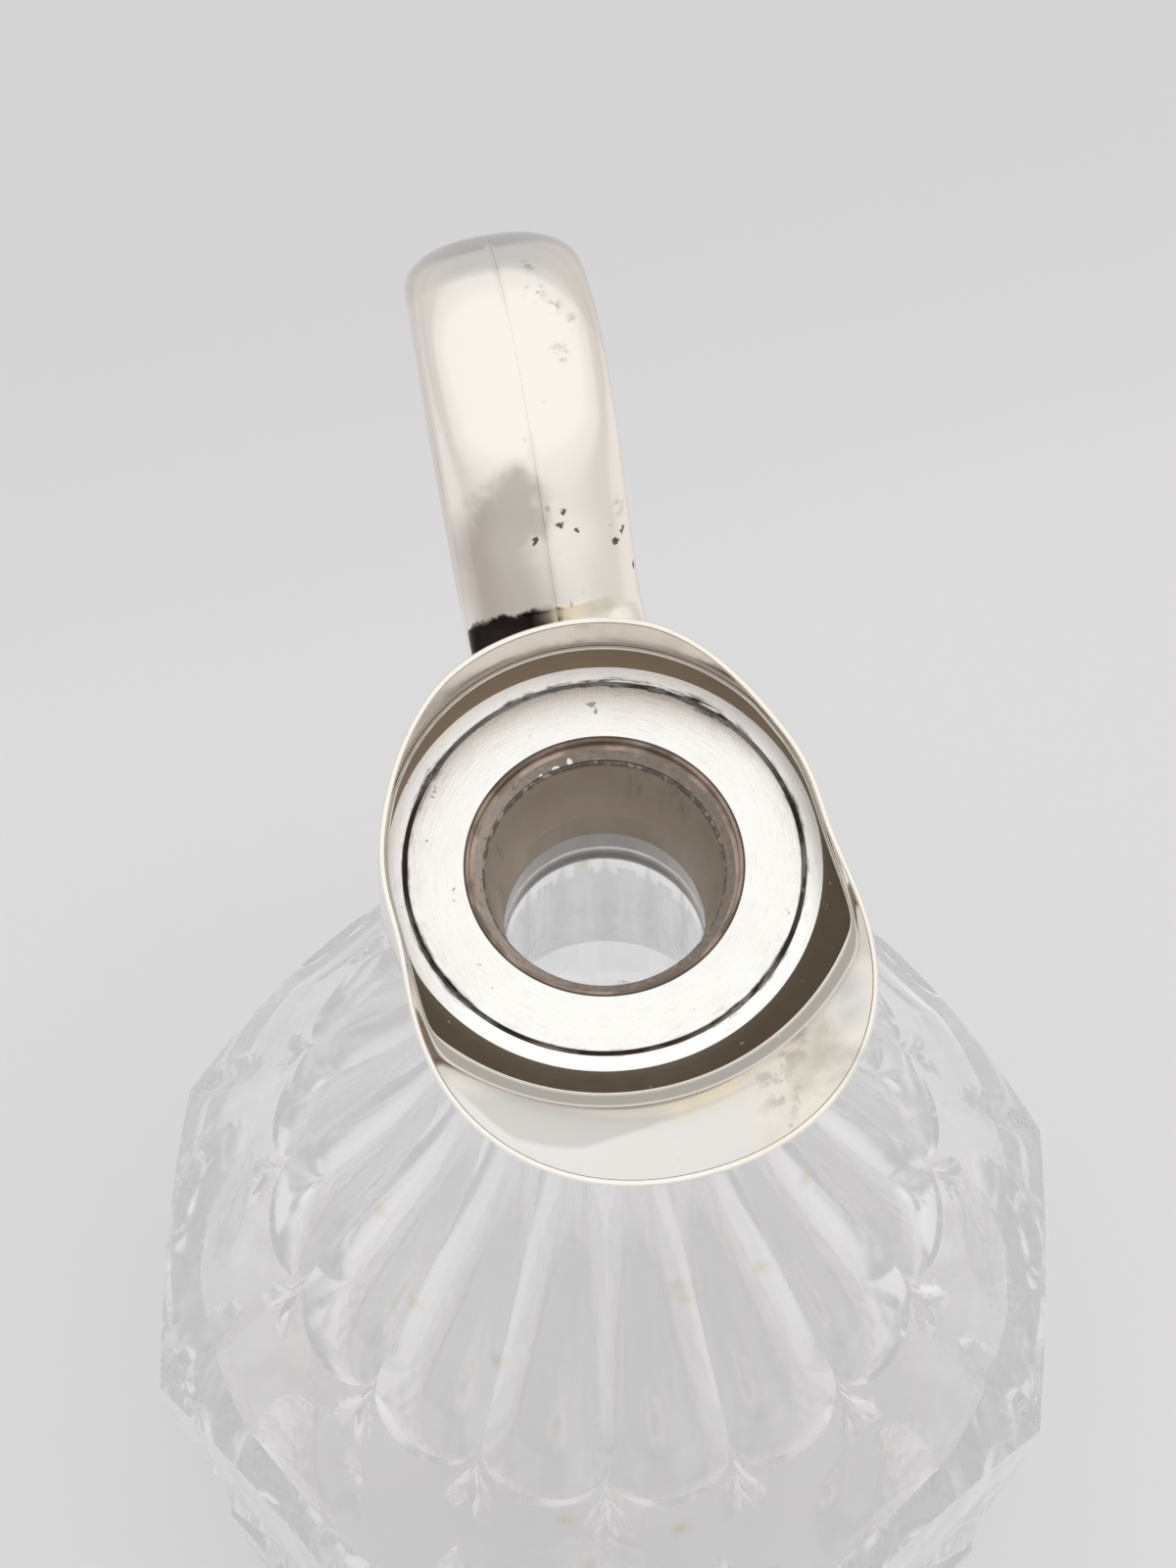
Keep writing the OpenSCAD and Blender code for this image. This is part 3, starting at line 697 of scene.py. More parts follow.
def cement_finish():
    """Grey plaster with white crumbs."""
    f = Finish("plaster")
    grain = f.noise(500.0, 5.0, 0.7)
    base = f.coats((0.50, 0.455, 0.39),
                   (f.span(f.noise(150.0, 4.0), 0.4, 0.65), (0.60, 0.555, 0.49)),
                   (f.span(grain, 0.66, 0.72), (0.85, 0.84, 0.82)))
    return f.finish(Base_Color=base, Roughness=0.8, Normal=f.bump(grain, 0.00012))


def ground_finish():
    """Granular ground rim at the mouth: lighter to the left, with white crumbs at the back."""
    f = Finish("ground_rim")
    x, y, _ = f.axes()
    grain = f.noise(1500.0, 5.0, 0.7)
    crumbs = f.span(f.marks(CRUMBS, 0.9, f.warped(900.0, 0.0014)), 0.3, 0.5)
    base = f.coats(
        (0.215, 0.178, 0.148), (f.span(y, 0.002, 0.013), (0.33, 0.275, 0.24)),
        (f.span(grain, 0.52, 0.64, 0.0, 0.3), (0.42, 0.38, 0.35)),
        (f.span(grain, 0.44, 0.36, 0.0, 0.4), (0.07, 0.058, 0.048)),
        (f.span(f.from_axis(x, y), 0.01385, 0.01395), copper_colour(f)), (crumbs, PLASTER))
    return f.finish(Base_Color=base, Roughness=0.8, Normal=f.bump(grain, 0.00015))


def solder_finish():
    """Dark scorched solder at the root of the handle."""
    f = Finish("scorched_solder")
    lumps = f.noise(420.0, 5.0, 0.7)
    base = f.blend(f.span(lumps, 0.4, 0.65), (0.018, 0.014, 0.013), (0.16, 0.13, 0.11))
    return f.finish(Base_Color=base, Metallic=0.4, Roughness=f.span(lumps, 0.3, 0.7, 0.45, 0.85),
                    Normal=f.bump(lumps, 0.00025))


# Cut glass

FLUTES = 16
DIRECTIONS = 128
HALF_PETAL = 360 / FLUTES / 2
NECK_R = 17.5
NECK_STEP = 0.3
NECK_SWEEP = 16.0
SHOULDER_SLOPE = 0.53
CORNER_A = 7 * 360 / DIRECTIONS
PETAL_H = 154.0
PETAL_ROUND = 8.0
FLUTE_TOP_DEPTH = 0.6
OVAL_HALF_W = 10.0
OVAL_HALF_H = 13.0
OVAL_RISE = 22.0
MITRE_RISE = 15.0
MITRE_HALF_H = 13.0
MITRE_HALF_W = 2.6
MITRE_DEPTH = 1.3
DOT_BELOW = 5.5
DOT_HALF_W = 3.0
DOT_HALF_H = 3.2
DOT_DEPTH = 1.0
DIAMOND_LOW = 28.0
DIAMOND_BAND = 56.0
STAR_R = 38.0
STAR_DEPTH = 3.2
FOOT_CHAMFER = 1.5
FLOOR_T = 13.0
CHAMBER_R = 53.0
CHAMBER_TAPER = 1.5
FLOOR_ROUND = 12.0
SHOULDER_WALL = 8.0
BORE_R = 11.3
SLEEVE_LOW_OUT = 11.7
SLEEVE_TAPER_END = 12.9
FIT = 0.1


def from_flat(a):
    """Angle in degrees from the nearest narrow flat, 0 to 45."""
    return np.abs((a + 45 + 360) % 90 - 45)


def octagon_r(a, width):
    """Distance from the axis to an octagon with narrow and wide flats by turns."""
    b = from_flat(a)
    wide = width / 2 * (1 + np.tan(np.radians(CORNER_A))) / np.sqrt(2)
    narrow = width / 2 / np.cos(np.radians(b))
    return np.where(b <= CORNER_A + 1e-3, narrow, wide / np.cos(np.radians(45 - b)))


class Crystal:
    """Outline and cuts of the glass, as arrays over the directions of its mesh."""

    def __init__(self, sizes):
        self.girdle = sizes.girdle_h / MM
        self.width = sizes.body_w / MM
        self.taper = sizes.taper / MM
        self.flute_depth = sizes.flute_depth / MM
        self.oval_depth = sizes.oval_depth / MM
        self.diamond_depth = sizes.diamond_depth / MM
        self.turn = sizes.turn
        self.per_flute = sizes.steps_per_flute
        self.count = FLUTES * self.per_flute
        self.i = np.arange(self.count)
        self.a = 360 * self.i / self.count
        shifted = self.i - self.per_flute // 8
        self.across = (shifted % self.per_flute) / (self.per_flute / 2) - 1
        corner_r = self.width / 2 / np.cos(np.radians(CORNER_A))
        self.top = self.girdle + self.drop(corner_r)
        self.edge = self.top - self.drop(octagon_r(self.a, self.width))
        self.petal = PETAL_H + PETAL_ROUND * (1 - np.sqrt(1 - self.across ** 2))
        self.rows = []

    def drop(self, r):
        """How far below the shoulder's apex the shoulder reaches radius r."""
        y = (r - NECK_R) / SHOULDER_SLOPE
        return y - NECK_SWEEP ** 2 / 4 / y

    def shoulder_r(self, z):
        """A cone that eases into the neck along a hyperbola."""
        u = self.top - z
        return NECK_R + SHOULDER_SLOPE / 2 * (u + np.sqrt(u * u + NECK_SWEEP ** 2))

    def ring(self, r, z):
        """Adds one ring of points at radius r and height z."""
        self.rows.append(around(r, np.radians(self.a) + self.turn, z))

    def side_w(self, z):
        """Width across the narrow flats at height z, narrower towards the foot."""
        return self.width - self.taper * (1 - z / self.girdle)

    def cuts(self, z):
        """Depth of ovals, mitres and small dots on the shoulder at height z.

        Ovals are paraboloids in the middle of each face, mitres are V-shaped
        lens cuts over the corners, and dots lie under the petals' ridges.
        """
        b = from_flat(self.a)
        middle = np.where(b <= CORNER_A, 0.0, 45.0)
        arc = np.pi / 180 * self.shoulder_r(z)
        x = (b - middle) * arc / OVAL_HALF_W
        y = (z - self.girdle - OVAL_RISE) / OVAL_HALF_H
        oval = self.oval_depth * np.maximum(0, 1 - x * x - y * y)
        along = (z - self.girdle - MITRE_RISE) / MITRE_HALF_H
        half = MITRE_HALF_W * np.sqrt(np.maximum(0.0, 1 - along ** 2))
        side = np.abs(b - CORNER_A) * arc
        mitre = MITRE_DEPTH * np.maximum(0, half - side) / MITRE_HALF_W
        dot_x = (1 - np.abs(self.across)) * HALF_PETAL * arc / DOT_HALF_W
        dot_y = (z - self.petal + DOT_BELOW) / DOT_HALF_H
        dot = DOT_DEPTH * np.maximum(0, 1 - dot_x ** 2 - dot_y ** 2)
        return np.maximum(np.maximum(oval, mitre), dot)

    def foot(self):
        """Star under the foot, the flat ring it stands on, and the chamfer."""
        ray = np.abs(self.across)
        for share in np.linspace(0.04, 0.97, 14):
            fade = np.minimum(1, (1 - share) * 1.6)
            self.ring(STAR_R * share, STAR_DEPTH * fade * (1 - ray * (0.3 + 0.7 * share)))
        self.ring(STAR_R, 0)
        self.ring(octagon_r(self.a, self.side_w(0) - 2 * FOOT_CHAMFER), 0)
        self.ring(octagon_r(self.a, self.side_w(FOOT_CHAMFER)), FOOT_CHAMFER)

    def sides(self):
        """Upright faces with a band of pyramids between crossed grooves."""
        fine = self.per_flute // 8
        rows = 8 * fine
        period = 4 * fine
        for j in range(rows + 1):
            z = DIAMOND_LOW + DIAMOND_BAND * j / rows
            to_a = np.abs(((self.i + j) % period) / (period / 2) - 1)
            to_b = np.abs(((self.i - j) % period) / (period / 2) - 1)
            height = 1 - np.maximum(to_a, to_b)
            depth = self.diamond_depth * (1 - height) if 0 < j < rows else 0
            self.ring(octagon_r(self.a, self.side_w(z)) - depth, z)
        self.ring(octagon_r(self.a, self.side_w(self.girdle - 6)), self.girdle - 6)

    def shoulder(self):
        """The plain cone with its ovals, mitres and dots, from the octagon to the petals."""
        for v in np.linspace(0, 1, 40, endpoint=False):
            z = lerp(self.edge, self.petal, v)
            fade = min(1.0, v / 0.03)
            self.ring(self.shoulder_r(z) - self.cuts(z) * fade, z)

    def flutes(self):
        """Hollow flutes that run from their round petal ends up the neck."""
        end = PLATE_H - BAND_END - 4
        for v in np.linspace(0, 1, 40) ** 1.35:
            swell = np.sqrt(1 - (1 - min(v / 0.2, 1)) ** 2)
            deep = lerp(self.flute_depth, FLUTE_TOP_DEPTH, smooth(v)) * swell
            z = lerp(self.petal, end, v)
            self.ring(self.shoulder_r(z) - deep * (1 - self.across ** 2), z)

    def neck(self):
        """The round top of the neck, its ground rim and the sleeve's seat."""
        under = PLATE_H - BAND_END
        top = PLATE_H - PLATE_T - FIT
        self.ring(self.shoulder_r(under - 2), under - 2)
        self.ring(NECK_R - NECK_STEP, under - NECK_STEP)
        self.ring(NECK_R - NECK_STEP, top)
        self.ring(SLEEVE_OUT + 1.7, top)
        self.ring(SLEEVE_OUT + FIT, PLATE_H - SLEEVE_TOP - FIT)
        self.ring(SLEEVE_LOW_OUT + FIT, PLATE_H - SLEEVE_TAPER_END)
        self.ring(SLEEVE_LOW_OUT + FIT, PLATE_H - SLEEVE_END - FIT)
        self.ring(BORE_R, PLATE_H - SLEEVE_END - FIT - 0.2)

    def chamber(self):
        """The round inside: bore, flare, wall and rounded floor."""
        start = self.top - self.drop(BORE_R + SHOULDER_WALL)
        low = self.top - self.drop(CHAMBER_R + SHOULDER_WALL)
        for v in np.linspace(0, 1, 20):
            z = lerp(start, low, v)
            self.ring(self.shoulder_r(z) - SHOULDER_WALL, z)
        for t in np.linspace(0.06, 1, 12):
            z = lerp(low, FLOOR_T + FLOOR_ROUND, t)
            self.ring(CHAMBER_R - CHAMBER_TAPER * smooth(t), z)
        flat_r = CHAMBER_R - CHAMBER_TAPER - FLOOR_ROUND
        for t in np.radians(np.linspace(8, 90, 10)):
            self.ring(flat_r + FLOOR_ROUND * np.cos(t), FLOOR_T + FLOOR_ROUND * (1 - np.sin(t)))
        self.ring(CHAMBER_R * 0.4, FLOOR_T)

    def rings(self):
        """Every ring of the closed surface, from the star round to the chamber's floor."""
        for part in (self.foot, self.sides, self.shoulder, self.flutes, self.neck, self.chamber):
            part()
        return np.array(self.rows)


class JUG_OT_crystal(Operator):
    """Adds the cut-glass body"""
    bl_idname = "jug.crystal"
    bl_label = "Crystal body"

    def execute(self, context):
        rings = Crystal(context.scene.jug_crystal).rings()
        piece = skin("crystal_body", rings, sharp=14.0)
        dress(piece, crystal_finish(), "crystal", "glass_body")
        return {"FINISHED"}


# Mouth: sleeve, ground rim with plaster, and plate

SLEEVE_WALL = 0.6
GROOVE_W = 0.5
GROOVE_D = 0.4


class JUG_OT_mouth(Operator):
    """Adds the sleeve, the cement and the mouth plate"""
    bl_idname = "jug.mouth"
    bl_label = "Mouth plate and sleeve"

    def execute(self, context):
        mount = context.scene.jug_mount
        hole = mount.hole_r / MM
        groove = mount.groove_r / MM
        top, under = PLATE_H, PLATE_H - PLATE_T
        sleeve_top, taper_end = top - SLEEVE_TOP, top - SLEEVE_TAPER_END
        sleeve_end = top - SLEEVE_END
        sleeve = rounded([
            (SLEEVE_LOW_OUT - SLEEVE_WALL, sleeve_end), (SLEEVE_LOW_OUT, sleeve_end),
            (SLEEVE_LOW_OUT, taper_end), (SLEEVE_OUT, sleeve_top),
            (SLEEVE_OUT - SLEEVE_WALL, sleeve_top),
            (SLEEVE_LOW_OUT - SLEEVE_WALL, taper_end)], 0.15)
        dress(revolve("mouth_sleeve", sleeve), sleeve_finish(), "old_silver", "neck_sleeve")

        rim = rounded([
            (SLEEVE_OUT + 0.02, sleeve_top + 0.12), (SLEEVE_OUT + 1.6, under - 0.06),
            (SLEEVE_OUT + 1.3, under - 0.02), (hole - 0.35, under - 0.3),
            (SLEEVE_OUT - 0.45, sleeve_top + 0.3)], 0.1)
        dress(revolve("plaster_ring", rim), ground_finish(), "cement", "neck_cement")

        wide, narrow = GROOVE_W / 2, GROOVE_W * 0.3
        plate = rounded([
            (hole, under), (PLATE_R, under), (PLATE_R, top),
            (groove + wide, top), (groove + narrow, top - GROOVE_D),
            (groove - narrow, top - GROOVE_D), (groove - wide, top), (hole, top)],
            mount.edge_r / MM)
        silver = tuple(min(1.0, 0.5 + 0.54 * c) for c in mount.silver)
        dress(revolve("mouth_ring", plate, 512), plate_finish(silver, hole, groove),
              "plate_silver", "mouth_plate")
        return {"FINISHED"}


# Collar, band and neck cement

COLLAR_WALL = 0.8
COLLAR_LOW_R = 21.6
COLLAR_RIM = 3.0
BEAD_R = 0.9
BAND_BORE_R = 17.4
BAND_LIP_LOW = 0.6
BAND_LIP = 1.8
CEMENT_LIFT = 0.4


def collar_curve(inset, low, high, steps=24):
    """Hollow curve of the collar: radius grows with the 1.6th power of height."""
    z = np.linspace(low, high, steps)
    share = np.clip((z + BAND_TOP) / (BAND_TOP - COLLAR_RIM), 0, 1) ** 1.6
    return np.stack([lerp(COLLAR_LOW_R, COLLAR_R, share) - inset, PLATE_H + z], -1)


class JUG_OT_collar(Operator):
    """Adds the collar, its band and the cement inside them"""
    bl_idname = "jug.collar"
    bl_label = "Collar and band"

    def execute(self, context):
        mount = context.scene.jug_mount
        silver = silver_finish("silver", tuple(mount.silver), tuple(mount.tarnish))
        outer = collar_curve(0, -BAND_TOP, -COLLAR_RIM)
        inner = collar_curve(COLLAR_WALL, -BAND_TOP, -COLLAR_RIM - PLATE_T)
        seat = PLATE_H - PLATE_T - FIT
        seat_r = COLLAR_R - 2 * COLLAR_WALL
        top = np.array([(COLLAR_R, PLATE_H), (PLATE_R + FIT, PLATE_H), (PLATE_R + FIT, seat),
                        (seat_r, seat)])
        dress(revolve("collar_sheet", np.concatenate([outer, top, inner[::-1]])),
              silver, "silver", "collar_tube")

        turn = np.radians(np.linspace(-90, 90, 14))
        low = PLATE_H - BAND_END
        band_top = PLATE_H - BAND_TOP
        bead = np.stack([COLLAR_LOW_R + BEAD_R * np.cos(turn),
                         low + BEAD_R + BEAD_R * np.sin(turn)], -1)
        lip_top = low + BAND_LIP_LOW + BAND_LIP
        inner_r = COLLAR_LOW_R - 2 * COLLAR_WALL
        inside = np.array([
            (COLLAR_LOW_R, band_top), (inner_r, band_top), (inner_r, lip_top),
            (BAND_BORE_R, lip_top), (BAND_BORE_R, low + BAND_LIP_LOW), (BAND_BORE_R + 0.5, low)])
        dress(revolve("band_ring", np.concatenate([bead, inside])), silver, "silver", "neck_band")

        filling = collar_curve(COLLAR_WALL + FIT, CEMENT_LIFT - BAND_TOP, -COLLAR_RIM - PLATE_T)
        neck = NECK_R - NECK_STEP + FIT
        core = np.array([
            (seat_r - FIT, seat), (neck, seat), (neck, lip_top + FIT),
            (inner_r - FIT, lip_top + FIT), (inner_r - FIT, band_top + CEMENT_LIFT)])
        dress(revolve("collar_filling", np.concatenate([filling, core])), cement_finish(),
              "cement", "neck_cement")
        return {"FINISHED"}


# Spout: shell, wire and liner

SHELL_WALL = 0.5
WIRE_R = 0.35
LIP_HALF_ANGLE = 92.0
LIP_FULLNESS = 2.4
LIP_SOFTNESS = 3.0
SPOUT_TURN = 4.4
SIDE_PINCH = 0.5
# Degrees from the spout: where a rise starts or a fall ends, and how many it takes
PINCH_IN = (40, 40)
PINCH_OUT = (165, 60)
LIP_FALL = 75
BACK_RISE = (110, 45)
FLARE_FALL = (LIP_HALF_ANGLE - 4, 25)
LEDGE_DROP = 0.6
LEDGE_GAP = 0.05
LINER_FLARE = 3.9
LEDGE_W = 1.6
LINER_WALL = 0.3
LINER_LEAN = 0.4
RIM_COLUMNS = 480


class Rim:
    """The rim in each direction; angles are measured from the spout."""

    def __init__(self, mount):
        self.a = 360 * np.arange(RIM_COLUMNS) / RIM_COLUMNS
        b = np.abs((self.a + 180) % 360 - 180)
        share = np.clip(1 - (b / LIP_HALF_ANGLE) ** LIP_FULLNESS, 0, 1) ** LIP_SOFTNESS
        self.mid_r = COLLAR_R - SHELL_WALL / 2
        pinch = smooth((b - PINCH_IN[0]) / PINCH_IN[1]) * smooth((PINCH_OUT[0] - b) / PINCH_OUT[1])
        self.r = self.ease(lerp(self.mid_r - SIDE_PINCH * pinch, LIP_REACH, share))
        side = mount.side_h / MM
        self.h = (side + (mount.lip_h / MM - side) * smooth(1 - b / LIP_FALL)
                  + (BACK_H - side) * smooth((b - BACK_RISE[0]) / BACK_RISE[1]))
        self.flare = smooth((FLARE_FALL[0] - b) / FLARE_FALL[1])
        flare_r = self.mid_r + LINER_FLARE + LEDGE_W - SHELL_WALL / 2
        ledge = np.minimum(lerp(self.mid_r, flare_r, self.flare), lerp(self.mid_r, self.r, 0.85))
        self.ledge_r = self.ease(ledge)
        self.ledge_h = self.ease(np.minimum(LINER_H, self.h - LEDGE_DROP))

    def ease(self, values):
        """Rounds off kinks with a bell of about 2 degrees."""
        k = np.exp(-0.5 * (np.arange(-8, 9) / 2.7) ** 2)
        k /= k.sum()
        return np.convolve(np.concatenate([values[-8:], values, values[:8]]), k, "valid")

    def sheet(self, u):
        """Two Hermite curves, from the collar to the ledge's edge and on to the rim."""
        low = np.stack([np.full(RIM_COLUMNS, self.mid_r), np.zeros(RIM_COLUMNS)], -1)
        middle = np.stack([self.ledge_r, self.ledge_h], -1)
        high = np.stack([self.r, self.h], -1)
        rise, run = middle - low, high - middle
        along = rise / lengths(rise) + run / lengths(run)
        along /= lengths(along)
        if u < 0.5:
            return hermite(low, middle, rise, along * lengths(rise), 2 * u)
        return hermite(middle, high, along * lengths(run), run, 2 * u - 1)

    def normal(self, u):
        """Square to the sheet, outwards and down; level at the collar."""
        if u == 0:
            return np.stack([np.ones(RIM_COLUMNS), np.zeros(RIM_COLUMNS)], -1)
        far = min(u + 0.01, 1)
        d = self.sheet(far) - self.sheet(far - 0.02)
        n = np.stack([d[:, 1], -d[:, 0]], -1)
        return n / lengths(n)

    def place(self, section):
        """Radius and height in each direction as points."""
        a = np.radians(180 + SPOUT_TURN + self.a)
        return around(section[:, 0], a, PLATE_H + section[:, 1])


class JUG_OT_spout(Operator):
    """Adds the spout's shell, the wire on its rim and the liner"""
    bl_idname = "jug.spout"
    bl_label = "Spout, rim wire and liner"

    def execute(self, context):
        mount = context.scene.jug_mount
        tarnish = tuple(mount.tarnish)
        silver = silver_finish("spout_silver", tuple(mount.silver), tarnish, 0.4, trough_marks)
        rim = Rim(mount)
        rows = np.linspace(0, 1, 40)
        inner = [rim.place(rim.sheet(u) - rim.normal(u) * SHELL_WALL / 2) for u in rows]
        outer = [rim.place(rim.sheet(u) + rim.normal(u) * SHELL_WALL / 2) for u in rows[::-1]]
        shell = skin("spout_sheet", np.array(inner + outer), True, 40.0)
        dress(shell, silver, "silver", "spout_shell")

        n = rim.normal(1)
        t = np.stack([-n[:, 1], n[:, 0]], -1)
        middle = rim.sheet(1) + t * WIRE_R * 0.6
        wire = [rim.place(middle + WIRE_R * (np.cos(b) * n + np.sin(b) * t)) for b in circle(16)]
        bright = silver_finish("wire_silver", brighter(mount.silver, 1.08), tarnish, 0.2)
        dress(skin("rim_roll", np.array(wire), True, 80.0), bright, "silver", "rim_wire")

        liner_r = mount.liner_r / MM
        ledge = rim.ledge_r - SHELL_WALL / 2 - LEDGE_GAP
        top = np.minimum(liner_r + LINER_FLARE * rim.flare, ledge - LINER_WALL - FIT)
        top = rim.ease(top)
        lean = lerp(liner_r, top, LINER_LEAN)
        flat = np.zeros(RIM_COLUMNS)
        high = rim.ledge_h
        low = high - LINER_WALL
        levels = [
            (liner_r + flat, 0, 0), (lerp(liner_r, lean, 0.5), high * 0.25, 0),
            (lean, high / 2, 0), (lerp(lean, top, 0.5), high * 0.75, 0),
            (top - 0.02, high - 0.2, 0), (top, high - 0.06, 1), (top + 0.06, high, 1),
            (lerp(top, ledge, 0.25), high, 0.35), (lerp(top, ledge, 0.75), high, 0.35),
            (ledge - 0.08, high, 1), (ledge, high - 0.06, 1),
            (np.maximum(ledge - LINER_WALL, top + LINER_WALL + 0.05), low, 0.5),
            (top + LINER_WALL, low, 0),
            (lean + LINER_WALL, high / 2, 0), (liner_r + LINER_WALL + flat, 0, 0)]
        wall = [rim.place(np.stack([r, flat + h], -1)) for r, h, _ in levels]
        worn = np.repeat([w for _, _, w in levels], RIM_COLUMNS)
        liner = skin("liner_pan", np.array(wall), True, 45.0, worn)
        dress(liner, liner_finish(tarnish, tuple(mount.silver)), "old_silver", "liner_cup")
        return {"FINISHED"}


# Handle

SOLDER_GAP = 0.15
SECTION_ROUND = 0.85
ROOT_H = 7.3
FOOT_T = 3.6
# Spans of the strap's curve at which its widths are reached, and where it starts to thin
WIDTH_SPANS = (0, 4, 11, 15)
THIN_FROM = 8


class Strap:
    """The half-round strap: a smooth curve through given points, and its section."""

    def __init__(self, sizes):
        root_r = COLLAR_R + SOLDER_GAP
        foot_r = COLLAR_LOW_R + SOLDER_GAP
        foot_h = -BAND_END + 2 * BEAD_R + 0.4
        reach = HANDLE_REACH
        crown = lerp(root_r, reach, 0.6)
        low = reach - 21.5
        rise = HANDLE_RISE
        drop = -HANDLE_DROP
        self.root_r = root_r
        self.foot_r = foot_r
        self.line = np.array([
            (root_r, ROOT_H),
            (lerp(root_r, crown, 0.27), lerp(ROOT_H, rise, 0.4)),
            (lerp(root_r, crown, 0.58), lerp(ROOT_H, rise, 0.81)),
            (crown, rise),
            (lerp(crown, reach, 0.62), rise - 3.4),
            (reach - 1, rise - 11.2),
            (reach, rise - 23),
            (reach - 1, drop * 0.25),
            (reach - 2.6, drop * 0.53),
            (reach - 6.4, drop * 0.78),
            (reach - 13, drop * 0.95),
            (low, drop),
            (lerp(foot_r, low, 0.66), drop * 0.91),
            (lerp(foot_r, low, 0.45), lerp(foot_h, drop, 0.52)),
            (lerp(foot_r, low, 0.25), lerp(foot_h, drop, 0.21)),
            (foot_r, foot_h)])
        self.spans = len(self.line) - 1
        self.widths = (sizes.root_w / MM, HANDLE_W, sizes.low_w / MM, sizes.foot_w / MM)
        self.thick = sizes.thickness / MM
        self.seam = sizes.seam_r / MM

    def at(self, t):
        """Catmull-Rom curve; t counts the spans between the points."""
        knots = np.concatenate([[2 * self.line[0] - self.line[1]], self.line,
                                [2 * self.line[-1] - self.line[-2]]])
        k = np.minimum(np.floor(t).astype(int), self.spans - 1)
        s = (t - k)[:, None]
        p0, p1, p2, p3 = knots[k], knots[k + 1], knots[k + 2], knots[k + 3]
        return (2 * p1 + (p2 - p0) * s + (2 * p0 - 5 * p1 + 4 * p2 - p3) * s ** 2
                + (3 * p1 - 3 * p2 + p3 - p0) * s ** 3) / 2

    def rings(self, hand, per_span=14):
        """Half sections along the curve, ends laid on the round walls they join."""
        t = np.linspace(0, self.spans, self.spans * per_span + 1)
        line = self.at(t)
        d = self.at(np.minimum(t + 0.05, self.spans)) - self.at(np.maximum(t - 0.05, 0))
        inward = np.stack([d[:, 1], -d[:, 0]], -1) / lengths(d)
        width = np.full(len(t), self.widths[0])
        for before, after, start, end in zip(
                self.widths, self.widths[1:], WIDTH_SPANS, WIDTH_SPANS[1:]):
            share = smooth((t - start) / (end - start))
            width = np.where(t < start, width, lerp(before, after, share))
        depth = lerp(self.thick, FOOT_T, smooth((t - THIN_FROM) / (self.spans - THIN_FROM)))
        b = np.radians(np.linspace(0, 90, 26))
        y = np.concatenate([np.sin(b) ** SECTION_ROUND * 0.5,
                            [0.497, 0.485, 0.45, 0.38, 0.28, 0.15, 0.0]])
        s = np.concatenate([0.8 * (1 - np.clip(np.cos(b), 0, 1) ** SECTION_ROUND),
                            [0.83, 0.86, 0.895, 0.93, 0.96, 0.985, 1.0]])
        across = width[:, None] * y[None, :]
        deep = depth[:, None] * s[None, :]
        across[:, 0] = self.seam
        deep[:, 0] = 0
        at_seam = np.stack([np.zeros(len(t)), np.full(len(t), self.seam)], -1)
        across = np.concatenate([at_seam[:, :1], across], 1)
        deep = np.concatenate([at_seam[:, 1:], deep], 1)
        x = line[:, :1] + inward[:, :1] * deep
        z = line[:, 1:] + inward[:, 1:] * deep
        x[0] = np.sqrt(self.root_r ** 2 - across[0] ** 2)
        x[-1] = np.sqrt(self.foot_r ** 2 - across[-1] ** 2)
        return np.stack([x, hand * across, PLATE_H + z], -1)


class JUG_OT_handle(Operator):
    """Adds the two halves of the strap handle and the solder at its root"""
    bl_idname = "jug.handle"
    bl_label = "Handle"

    def execute(self, context):
        mount = context.scene.jug_mount
        silver = silver_finish("handle_silver", brighter(mount.silver, 1.05),
                               tuple(mount.tarnish), 0.4, handle_marks)
        strap = Strap(context.scene.jug_handle)
        for hand, word in ((-1, "left"), (1, "right")):
            half = skin("strap_" + word, strap.rings(hand), sharp=50.0)
            dress(half, silver, "silver", "handle_half_" + word)
        self.solder(strap)
        return {"FINISHED"}

    def solder(self, strap):
        """A lumpy dark bead that follows the collar under the strap's root."""
        y = np.linspace(-8.6, 8.9, 90)
        turn = circle(20)
        end = np.sqrt(np.clip(1 - ((y - 0.15) / 8.8) ** 4, 0, 1))
        lump = 1 + 0.16 * np.sin(2.1 * y + 1) + 0.12 * np.sin(5.3 * y) + 0.08 * np.sin(11.7 * y)
        size = 0.12 + end * lump
        along = np.sqrt(strap.root_r ** 2 - y ** 2) + 0.35
        height = ROOT_H - 2.6 - 2.2 * (y / 9.4) ** 2
        x = along[:, None] + 0.42 * size[:, None] * np.cos(turn)
        z = height[:, None] + 1.9 * size[:, None] * np.sin(turn)
        rings = np.stack([x, np.broadcast_to(y[:, None], x.shape), PLATE_H + z], -1)
        dress(skin("root_solder", rings, sharp=60.0), solder_finish(), "old_silver")


# Stage

FLOOR_R = 4.0
FLOOR_DROP = 0.0002
FLOOR_SIDES = 96
FLOOR_GLOW = 0.6
ROOM_LEVELS = ((0.0, 0.74), (0.15, 0.74), (0.4, 0.9), (0.7, 1.0))
LAMP_PLACE = (-0.25, -0.35, 1.5)
LAMP_AIM = (0, 0, 0.2)
LAMP_SIZE = 1.4
LAMP_POWER = 6.0
FRAME_PX = 1600
SENSOR_W = 36.0


